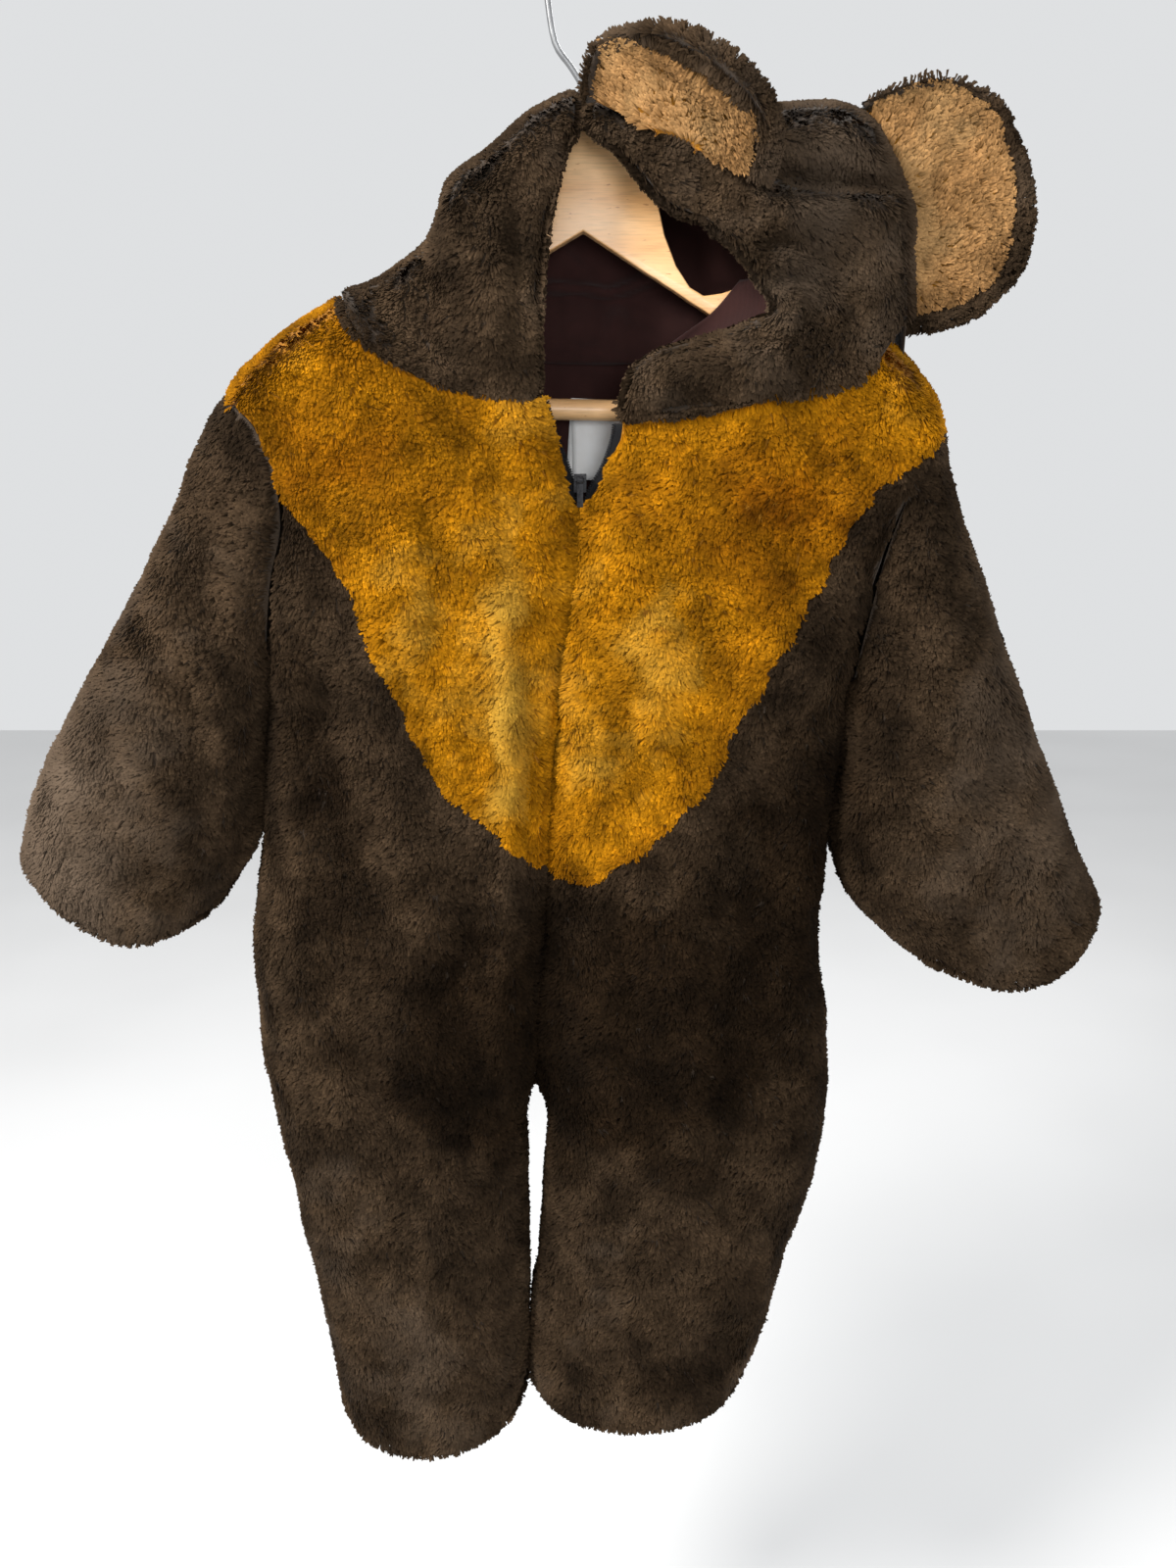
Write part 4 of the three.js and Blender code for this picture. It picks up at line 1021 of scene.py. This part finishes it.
def pile(name, points, base, sense, nap, per_cm2, material, seed):
    """Locks of pile over a backing: each is one blunt face, bent over along the nap."""
    rng = np.random.default_rng(seed)
    out = -sense * normals(points)
    run = run_of(points, 1)
    side_a = points[1:, :-1] - points[:-1, :-1]
    side_b = points[:-1, 1:] - points[:-1, :-1]
    side_c = points[1:, 1:] - points[1:, :-1]
    area = np.linalg.norm(np.cross(side_a, (side_b + side_c) / 2), axis=-1)
    front = -(out[:-1, :-1, 1] + out[1:, 1:, 1]) / 2
    dense = mix(BACK_SHARE, 1, ease((front + 0.35) / 0.5))
    weight = area * dense * (1 + 0.8 * ease((0.5 - np.abs(front)) / 0.5))
    count = int(weight.sum() / 100 * per_cm2)
    cell = np.sort(rng.choice(area.size, size=count, p=(weight / weight.sum()).ravel()))
    i, j = np.divmod(cell, area.shape[1])
    wide = LOCK_WIDE / np.sqrt(dense[i, j])
    s, t = rng.random((2, count, 1))

    def between(grid):
        low = mix(grid[i, j], grid[i + 1, j], s)
        high = mix(grid[i, j + 1], grid[i + 1, j + 1], s)
        return mix(low, high, t)

    root = between(base)
    up = unit(between(out))
    along = unit(between(run)) * nap
    sideways = ease((0.62 - np.abs(up[:, 1:2])) / 0.62)
    combed = ease((0.66 - np.abs(up[:, 1:2])) / 0.24)  # near an outline it leans over the edge
    over = -clamp(10 * up[:, 1:2], -1) * BODY_Y
    along = along * (1 - 0.85 * combed) + combed * over
    if name.startswith(("bib", "front")):  # it closes over the zip
        off = root[:, :1] - read(FRONT[RIGHT], "inner", -root[:, 2:])
        closing = -np.sign(off) * np.exp(-((off / 8) ** 2))
        along = along + 1.8 * closing * BODY_X
    along = unit(along - up * dot(along, up))
    across = np.cross(up, along)
    turn = 0.7 * swirl(root) + 0.35 * ruffle(root) + rng.normal(0, 0.12, count)
    turn = turn * (1 - 0.5 * sideways[:, 0])
    along, across = (
        along * np.cos(turn)[:, None] + across * np.sin(turn)[:, None],
        across * np.cos(turn)[:, None] - along * np.sin(turn)[:, None],
    )
    angle = LEAN - 0.14 * raised(root) - 0.3 * sideways[:, 0] + rng.normal(0, 0.09, count)
    angle = angle[:, None]
    size = (LOCK_LONG * rng.uniform(0.82, 1.12, count) * (1 - 0.6 * upward(up)))[:, None]
    half = (wide / 2 * rng.uniform(0.7, 1.3, count))[:, None]
    skew = rng.uniform(-0.9, 0.9, (count, 1))
    pull = clump_centres(root) - root
    pull = pull - up * dot(pull, up)
    way = np.cos(angle) * up + np.sin(angle) * along
    end = root + size * way + GATHER * pull
    root = root - 0.3 * up
    first = end + half * (across + skew * way)
    second = end - half * (across + skew * way)
    vertices = np.stack([root, first, second], axis=1).reshape(-1, 3)
    facing = np.cross(first - root, second - root)
    wrong = (facing * up).sum(-1) < 0
    faces = 3 * np.arange(count)[:, None] + [[0, 1, 2]]
    faces[wrong] = faces[wrong][:, ::-1]
    flat = unit(np.where(wrong[:, None], -facing, facing))
    stray = rng.normal(0, 0.1, (count, 3))
    low_normal = unit(0.8 * up + mix(0.25, 0.5, combed) * flat + stray)
    high_normal = unit(0.8 * up + mix(0.25 * along, 0.5 * flat, combed) + stray)
    bend = np.stack([low_normal, high_normal, high_normal], axis=1).reshape(-1, 3)
    tone = np.ones((count, 3, 4), np.float32)
    tone[..., 0] = [0.1, 0.95, 0.95]  # how far along the lock: its root, then its end
    tone[..., 1] = rng.random(count)[:, None]
    # Third channel: random nap patches, plus the table of crushed and brushed pile with its painted
    # shade and painted highlights.
    nap_and_painted_shade = 0.5 + 0.06 * patches(root) + 0.06 * blotches(root) + painted_light_and_nap_at(root)
    tone[..., 2] = clamp(nap_and_painted_shade)[:, None]
    m, n = area.shape
    u, v = (i[:, None] + s) / m, (j[:, None] + t) / n
    corners = (u, v - 0.0012), (u - 0.0008, v + 0.0008), (u + 0.0008, v + 0.0008)
    uv = np.stack([np.concatenate(corner, axis=1) for corner in corners], axis=1)
    return loose_faces(name, vertices, faces, bend, tone, uv.reshape(-1, 2), material)


# Materials
class Look:
    """A material, and the nodes that colour it."""

    def __init__(self, name, colour, roughness=0.9, sheen=0.0, metallic=0.0, specular=0.3):
        self.material = bpy.data.materials.new(name)
        self.material.use_nodes = True
        self.tree = self.material.node_tree
        self.shader = self.tree.nodes["Principled BSDF"].inputs
        self.shader["Base Color"].default_value = (*colour, 1)
        self.shader["Roughness"].default_value = roughness
        self.shader["Metallic"].default_value = metallic
        self.shader["Specular IOR Level"].default_value = specular
        self.shader["Sheen Weight"].default_value = sheen
        self.shader["Sheen Roughness"].default_value = 0.5
        self.where = self.node("ShaderNodeTexCoord").outputs["Object"]

    def node(self, kind, source=None, into="Vector", **settings):
        new = self.tree.nodes.new(kind)
        for key, value in settings.items():
            if key in new.inputs:
                new.inputs[key].default_value = value
            else:
                setattr(new, key, value)
        if source is not None:
            self.tree.links.new(source, new.inputs[into])
        return new

    def ramp(self, source, *stops):
        new = self.node("ShaderNodeValToRGB", source, "Fac")
        elements = new.color_ramp.elements
        while len(elements) < len(stops):
            elements.new(0.5)
        for element, (place, colour) in zip(elements, stops):
            element.position = place
            element.color = (*(colour if isinstance(colour, tuple) else [colour] * 3), 1)
        return new.outputs["Color"]

    def blend(self, kind, factor, first, second):
        new = self.node("ShaderNodeMix", data_type="RGBA", blend_type=kind)
        for place, value in ((0, factor), (6, first), (7, second)):
            if isinstance(value, (int, float)):
                new.inputs[place].default_value = value
            elif isinstance(value, tuple):
                new.inputs[place].default_value = (*value, 1)
            else:
                self.tree.links.new(value, new.inputs[place])
        return new.outputs[2]

    def times(self, first, second, factor=1.0):
        return self.blend("MULTIPLY", factor, first, second)

    def noise(self, scale, detail, stretch=None):
        where = self.where
        if stretch:
            where = self.node("ShaderNodeMapping", where, Scale=stretch).outputs["Vector"]
        return self.node("ShaderNodeTexNoise", where, Scale=scale, Detail=detail).outputs["Fac"]

    def wave(self, way, **settings):
        return self.node("ShaderNodeTexWave", self.where, bands_direction=way, **settings).outputs

    def bump(self, height, strength, distance):
        new = self.node("ShaderNodeBump", height, "Height", Strength=strength, Distance=distance)
        self.tree.links.new(new.outputs["Normal"], self.shader["Normal"])

    def gloss(self, source, low, high):
        value = self.node("ShaderNodeMapRange", source, "Value", **{"To Min": low, "To Max": high})
        self.tree.links.new(value.outputs["Result"], self.shader["Roughness"])

    def coloured(self, colour):
        self.tree.links.new(colour, self.shader["Base Color"])
        return self.material


def pile_material(name, root, body, tip, nap_and_painted_shade, pale_nap_and_painted_sheen, sheen):
    look = Look(name, body, 0.9, sheen, specular=0.04)
    look.shader["Sheen Tint"].default_value = (*pale_nap_and_painted_sheen, 1)
    stored = look.node("ShaderNodeAttribute", attribute_name="pile").outputs["Color"]
    parts = look.node("ShaderNodeSeparateColor", stored, "Color").outputs
    along, chance, nap_and_painted_light = parts[0], parts[1], parts[2]
    # Each lock darkens from its end to its root: painted shade, for the shadow deep in the pile.
    colour = look.ramp(along, (0, root), (0.5, body), (1, tip))
    colour = look.times(colour, look.ramp(chance, (0, 0.72), (0.6, 1.0), (1, 1.28)))
    cloud = look.noise(60, 4)
    colour = look.times(colour, look.ramp(cloud, (0.34, 0.68), (0.66, 1.26)))
    mottle = look.noise(24, 5, stretch=(1.3, 1, 0.75))
    colour = look.times(colour, look.ramp(mottle, (0.36, 0.56), (0.5, 0.96), (0.66, 1.34)))
    # Low values darken the lock, as crushed pile and as painted shade; high values blend it towards
    # a pale colour, a painted sheen and highlight.
    colour = look.times(colour, look.ramp(nap_and_painted_light, (0.05, nap_and_painted_shade), (0.5, 1.0)))
    share = look.ramp(nap_and_painted_light, (0.5, 0.0), (0.98, 0.85))
    return look.coloured(look.blend("MIX", share, colour, pale_nap_and_painted_sheen))


def backing_material(name, colour, deep):
    look = Look(name, colour, 0.95, 0.1)
    loops = look.noise(700, 2)
    look.bump(loops, 0.5, 0.0006)
    # The loops are painted darker in their hollows, where the bump is low: painted shade.
    shade = look.ramp(loops, (0.35, deep), (0.7, colour))
    tone = look.ramp(look.noise(60, 3), (0.3, 0.8), (0.7, 1.15))
    return look.coloured(look.times(shade, tone))


def knit_material(name, colour, deep, wale, sheen):
    """Fine ribs of knitting that run down the cloth, with a soft unevenness."""
    look = Look(name, colour, 0.92, sheen, specular=0.08)
    ribs = look.wave("X", Scale=wale, Distortion=1.2, Detail=2, **{"Detail Scale": 3})
    rows = look.wave("Z", Scale=wale * 1.3, Distortion=1.0, Detail=1)
    look.bump(look.times(ribs["Color"], rows["Color"], 0.7), 0.45, 0.0004)
    # The hollows between the ribs are painted darker, where the bump is low: painted shade.
    shade = look.ramp(ribs["Fac"], (0.0, deep), (0.8, colour))
    tone = look.ramp(look.noise(45, 4), (0.3, 0.78), (0.72, 1.2))
    return look.coloured(look.times(shade, tone))


def wood_material():
    pale, warm, vein = (0.78, 0.47, 0.22), (0.68, 0.36, 0.14), (0.42, 0.19, 0.07)
    look = Look("beech", pale, 0.42, specular=0.45)
    look.shader["Coat Weight"].default_value = 0.25
    look.shader["Coat Roughness"].default_value = 0.25
    long_grain = look.noise(9, 6, stretch=(1.2, 9, 9))
    fine_grain = look.noise(110, 4, stretch=(0.6, 9, 9))
    flecks = look.noise(420, 2, stretch=(0.35, 1.6, 1.6))
    look.bump(fine_grain, 0.12, 0.0005)
    colour = look.ramp(long_grain, (0.3, warm), (0.55, pale), (0.75, (0.82, 0.52, 0.26)))
    colour = look.times(colour, look.ramp(fine_grain, (0.36, 0.82), (0.5, 1.0), (0.7, 1.06)), 0.8)
    dots = look.ramp(flecks, (0.27, 1.0), (0.33, 0.0))
    colour = look.blend("MIX", dots, colour, vein)
    # The arm at -X is painted 7% darker than the other: painted shade, for an arm that meets the
    # light at another angle. The step between the two halves lies at the middle, at the mitre.
    across = look.node("ShaderNodeSeparateXYZ", look.where).outputs["X"]
    return look.coloured(look.times(colour, look.ramp(across, (0.0, 0.93), (0.004, 1.0))))


def hard_material(look, grain, gloss, dark, pale, height):
    """Steel or plastic, which a fine grain makes a little uneven in colour and gloss."""
    look.gloss(grain, *gloss)
    look.bump(grain, height, 0.0002)
    return look.coloured(look.ramp(grain, dark, pale))


def steel_material():
    look = Look("hook_steel", (0.62, 0.63, 0.64), 0.22, metallic=1.0)
    dark, pale = (0.3, (0.3, 0.3, 0.305)), (0.7, (0.4, 0.405, 0.41))
    return hard_material(look, look.noise(90, 5), (0.24, 0.36), dark, pale, 0.03)


def plastic_material():
    look = Look("zip_plastic", (0.012, 0.012, 0.013), 0.4, specular=0.15)
    dark, pale = (0.3, (0.005, 0.005, 0.006)), (0.75, (0.018, 0.018, 0.02))
    return hard_material(look, look.noise(900, 3), (0.28, 0.55), dark, pale, 0.15)


def label_material():
    look = Look("label_satin", (0.86, 0.86, 0.84), 0.45, 0.2)
    weave = look.wave("Z", Scale=900, Distortion=0.6)["Fac"]
    look.bump(weave, 0.25, 0.0002)
    soft = look.ramp(look.noise(120, 3), (0.3, (0.93, 0.92, 0.9)), (0.7, 1.0))
    return look.coloured(look.times(look.ramp(weave, (0.0, 0.78), (0.8, 0.88)), soft))


def floor_material():
    look = Look("floor_plain", (0.7, 0.7, 0.69), 0.9)
    return look.coloured(look.ramp(look.noise(2, 2), (0.3, 0.68), (0.7, 0.72)))


LOOKS = {
    "brown_plush": pile_material(
        "brown_pile",
        (0.012, 0.0068, 0.0036),
        (0.028, 0.0172, 0.0094),
        (0.05, 0.0315, 0.0178),
        (0.3, 0.27, 0.23),
        (0.118, 0.084, 0.058),
        0.04,
    ),
    "tan_plush": pile_material(
        "tan_pile",
        (0.155, 0.052, 0.001),
        (0.26, 0.096, 0.0016),
        (0.35, 0.143, 0.0032),
        (0.42, 0.34, 0.26),
        (0.6, 0.34, 0.045),
        0.025,
    ),
    "ear": pile_material(
        "ear_pile",
        (0.11, 0.05, 0.014),
        (0.2, 0.1, 0.034),
        (0.29, 0.155, 0.06),
        (0.42, 0.34, 0.26),
        (0.5, 0.32, 0.14),
        0.03,
    ),
}
BACKINGS = {
    "brown_plush": backing_material(
        "brown_backing", (0.042, 0.0265, 0.015), (0.024, 0.015, 0.0085)
    ),
    "tan_plush": backing_material("tan_backing", (0.38, 0.155, 0.005), (0.24, 0.09, 0.002)),
}
LINING = knit_material("lining_knit", (0.036, 0.014, 0.0125), (0.017, 0.0066, 0.0058), 520, 0.07)
TAPE = knit_material("zip_tape_weave", (0.014, 0.014, 0.015), (0.005, 0.005, 0.006), 700, 0.1)
WOOD = wood_material()
STEEL = steel_material()
PLASTIC = plastic_material()
SATIN = label_material()


# Every plush piece: its grid, the side that its inside is on, the way of its nap, how many locks
# stand on a square centimetre, its slot and its edge that is turned in.
def half_pieces(side):
    way = SIGN[side]
    return [
        ("bib_" + side, bib_grid(side), way, 1, 144, "tan_plush", None),
        ("front_" + side, front_grid(side), way, 1, 116, "brown_plush", "last row"),
        ("back_" + side, back_grid(side), -way, 1, 96, "brown_plush", "last row"),
        ("sleeve_" + side, sleeve_grid(side), way, 1, 120, "brown_plush", "last row"),
        ("ear_face_" + side, ear_face_grid(side), -1, 1, 168, "tan_plush", None),
        ("ear_back_" + side, ear_back_grid(side), 1, -1, 168, "brown_plush", None),
    ]


PIECES = [
    *half_pieces(RIGHT),
    *half_pieces(LEFT),
    ("hood_side_right", hood_right_grid(), 1, -1, 124, "brown_plush", "first column"),
    ("hood_side_left", hood_left_grid(), -1, -1, 124, "brown_plush", "first column"),
    ("hood_back", hood_back_grid(), 1, -1, 100, "brown_plush", None),
]


# The cut of each sheet: how wide and long what shows is in metres, and its area in square metres.
CUTS = {
    "bib_right": (0.29, 0.27, 0.0372),
    "front_right": (0.29, 0.63, 0.1029),
    "back_right": (0.23, 0.75, 0.1299),
    "sleeve_right": (0.42, 0.33, 0.0781),
    "ear_face_right": (0.14, 0.05, 0.0028),
    "ear_back_right": (0.17, 0.07, 0.0067),
    "bib_left": (0.36, 0.27, 0.0398),
    "front_left": (0.36, 0.64, 0.0982),
    "back_left": (0.24, 0.72, 0.1313),
    "sleeve_left": (0.39, 0.33, 0.0817),
    "ear_face_left": (0.19, 0.05, 0.0049),
    "ear_back_left": (0.22, 0.08, 0.0097),
    "hood_side_right": (0.2, 0.19, 0.0191),
    "hood_side_left": (0.22, 0.3, 0.0343),
    "hood_back": (0.38, 0.15, 0.0367),
    "hood_lining": (0.25, 0.13, 0.0221),
    "neck_lining": (0.2, 0.14, 0.0266),
    "hood_lip": (0.06, 0.06, 0.0019),
}


def crotch_grid(columns=12, rows=24):
    """The plush between the legs, behind the fronts' inner edges."""
    share, down = spread(columns, rows)
    drop = mix(560, 666 - 8 * np.sin(np.pi * share), down)
    right = read(FRONT[RIGHT], "inner", drop) - 7
    left = read(FRONT[LEFT], "inner", drop) + 7
    seam = (read(FRONT[RIGHT], "seam", drop) + read(FRONT[LEFT], "seam", drop)) / 2
    depth = seam + 5 - 3 * np.sin(np.pi * share) + 9 * ease((drop - 644) / 24)
    return stack(mix(right, left, share), depth, -drop)


def zip_side(side):
    """One tape, and the coil along its edge."""
    points = tape_grid(side)
    way = SIGN[side]
    tape = shell("zip_tape_" + side + "_cloth", points, moved(points, way * 0.6), way, TAPE)
    edge = points[0] + np.array([0, 0.3, 0])
    turns = int((edge[0, 2] - edge[-1, 2]) / 1.3)
    t = np.linspace(0, 1, 6 * turns + 1)
    angle = 2 * np.pi * turns * t
    at = np.linspace(0, 1, len(edge))
    path = np.stack([np.interp(t, at, edge[:, axis]) for axis in range(3)], axis=1)
    path[:, 0] += np.cos(angle) - way * 0.3
    path[:, 1] += 0.8 * np.sin(angle)
    coil = tube("zip_coil_" + side, path, 0.3, 4, PLASTIC)
    return [tied(tape, "zip", "zip_tape_" + side), tied(coil, "zip")]


def lay(piece, name, with_pieces=()):
    """Looks up a sheet's cut, and does nothing more with it."""
    wide, long, area = CUTS[name]


def dress(number, name, points, sense, nap, per_cm2, slot, edge):
    """The backing of one piece of plush and its pile."""
    if edge:
        points = turned_in(points, sense, edge)
    deep = backing_depth(points, edge)
    if name.startswith("ear"):
        deep = np.full(points.shape[:2], EAR_DEEP)
    deep = deep * (1 - 0.68 * upward(-sense * normals(points)))
    base = ease_apart(moved(points, sense * deep), points)
    inner = ease_apart(moved(base, sense * BACKING), base)
    skin = tied(shell(name + "_backing", base, inner, sense, BACKINGS[slot]), slot, name)
    look = LOOKS["ear" if name.startswith("ear_face") else slot]
    fur = pile(name + "_pile", points, base, sense, nap, per_cm2, look, 100 + number)
    extra = zip_side(name[4:]) if name.startswith("bib") else []
    if name in STRIPS:
        extra = STRIPS[name]()
    lay(skin, name, [tied(fur, slot), *extra])


def crotch():
    points = crotch_grid()
    base = moved(points, DEEP)
    skin = shell("crotch_backing", base, moved(base, BACKING), 1, BACKINGS["brown_plush"])
    fur = pile("crotch_pile", points, base, 1, 1, 120, LOOKS["brown_plush"], 150)
    return [tied(skin, "brown_plush"), tied(fur, "brown_plush")]


def allowance(name, points):
    """A strip of plain backing inside a seam."""
    strip = shell(name, points, moved(points, 0.8), 1, BACKINGS["brown_plush"])
    return [tied(strip, "brown_plush")]


def back_seam():
    """The allowance down the inside of the back."""
    share, down = spread(4, 90)
    drop = mix(200, 648, down)
    x = read(BACK, "centre", drop) + 12 * (share - 0.5)
    return allowance("back_seam", stack(x, read(BACK, "seam", drop) - PLUSH - 0.5, -drop))


def hood_seam():
    """The allowance inside the hood's left edge."""
    share, down = spread(4, 40)
    drop = mix(86, 214, down)
    roof = np.interp(drop, [80, 95, 108, 122, 240], [149, 160, 168, 175, 200])
    x = np.minimum(read(HOOD_EDGE, "left", drop), roof) - 4.5
    return allowance("hood_seam", stack(x, mix(-20, 8, share), -drop))


STRIPS = {"front_right": crotch, "back_right": back_seam, "hood_side_left": hood_seam}


for number, piece in enumerate(PIECES):
    dress(number, *piece)


# Linings
for name, points in (
    ("hood_lining", hood_lining_grid()),
    ("neck_lining", neck_lining_grid()),
):
    inner = ease_apart(moved(points, BACKING), points)
    lay(tied(shell(name + "_cloth", points, inner, 1, LINING), "lining", name), name)


# The inside of the hood's lower lip, which laps the hanger's arm
def lip_grid(columns=16, rows=20):
    share, down = spread(columns, rows)
    drop = mix(165, 206, down)
    depth = mix(-11, -36, share**1.3) - 2 * np.sin(np.pi * down)
    depth = depth + 2.5 * np.sin(3 * np.pi * share * down)
    return stack(mix(read(LIP, "left", drop), read(LIP, "right", drop), share), depth, -drop)


points = lip_grid()
lip = shell("hood_lip_cloth", points, moved(points, BACKING), 1, LINING)
lay(tied(lip, "lining"), "hood_lip")


# The label, of two leaves that curl a little
def label_grid(lean, curl, columns=10, rows=14):
    share, down = spread(columns, rows)
    x = 5 + 30 * (share - 0.5) + lean * down
    middle = back_depth(LEFT, np.full(1, 5.0), np.full(1, 250.0))[0] - PLUSH - 4.5
    depth = middle - curl * down**2 - 1.5 * np.sin(np.pi * share)
    depth = depth + 0.8 * np.sin(4 * down + 3 * share)
    return stack(x, depth, -(227 + 46 * down) - 1.5 * share)


def leaf(name, lean, curl, solid=None):
    points = label_grid(lean, curl)
    return tied(shell(name, points, moved(points, 0.35), 1, SATIN), "label", solid)


label = leaf("neck_label_cloth", 1, 3.5, "neck_label")
leaf("neck_label_leaf", -3, 1)


def hanger_place(points):
    """The hanger hangs a little tipped, about its hook."""
    tip = math.radians(1.1)
    x, y, z = np.array(points, float).T
    return stack(x * math.cos(tip) + z * math.sin(tip), y, z * math.cos(tip) - x * math.sin(tip))


def hook_path():
    """Round the hook from its end to its neck, and down into the arms."""
    degrees = np.radians(np.arange(4, 191, 12))
    bend = stack(HOOK * np.cos(degrees), 0, HOOK * np.sin(degrees) + WIRE - HOOK)
    neck = [(-17, 0, -44), (-8, 0, -56), (-1.5, 0, -66), (0, 0, -76), (0, 0, -89)]
    return hanger_place(smooth_path([*bend, *neck], 4))


path = hook_path()
run = np.concatenate([[0], np.cumsum(np.linalg.norm(np.diff(path, axis=0), axis=1))])
radius = WIRE * np.sqrt(1 - (1 - clamp((run + 0.15) / WIRE)) ** 2)
tied(tube("hook_wire", path, radius, 16, STEEL), "hook", "hanger_hook")
rounded("hanger_arms", 0.9, WOOD, "wood")
rounded("hanger_bar", 0.5, WOOD, "wood")
rounded("zip_slider", 0.3, PLASTIC, "zip")
rounded("zip_pull", 0.2, PLASTIC, "zip", "zip_pull")
for name, material in (
    ("hanger_arms", WOOD),
    ("hanger_bar", WOOD),
    ("hanger_hook", STEEL),
    ("zip_slider", PLASTIC),
    ("zip_pull", PLASTIC),
):
    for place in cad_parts[name].material_slots:
        place.material = material

corners = FLOOR_HALF * np.array([[-1, -1, 0], [1, -1, 0], [1, 1, 0], [-1, 1, 0]])
floor = add_mesh("floor", corners - [0, 0, FLOOR_DROP], [[0, 1, 2, 3]], floor_material())
floor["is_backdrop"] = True


# Lights
def add_light(name, place, aim, size, power, colour=(1, 1, 1)):
    data = bpy.data.lights.new(name, "AREA")
    data.shape = "DISK"
    data.size = size
    data.energy = power
    data.color = colour
    light = link(bpy.data.objects.new(name, data))
    light.location = place
    light.rotation_euler = (Vector(aim) - Vector(place)).to_track_quat("-Z", "Y").to_euler()


add_light("key", (-1.2, -1.1, 0.8), (0, 0, -0.4), 0.6, 60, (1, 0.98, 0.95))
add_light("fill", (0.25, -1.7, -0.1), (0, 0, -0.35), 0.6, 12, (0.97, 0.99, 1))
add_light("rim", (0.3, 1.5, 0.8), (0, 0, -0.4), 1.2, 20)

world = bpy.data.worlds.new("studio")
world.use_nodes = True
soft = world.node_tree.nodes["Background"]
soft.inputs["Color"].default_value = (0.97, 0.985, 1, 1)
soft.inputs["Strength"].default_value = 0.76
bpy.context.scene.world = world
bpy.context.scene.view_settings.view_transform = "Standard"

visual_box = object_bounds()
boxes = {"cad": cad_box, "visual": visual_box}
plain = {key: [[float(v) for v in corner] for corner in box] for key, box in boxes.items()}
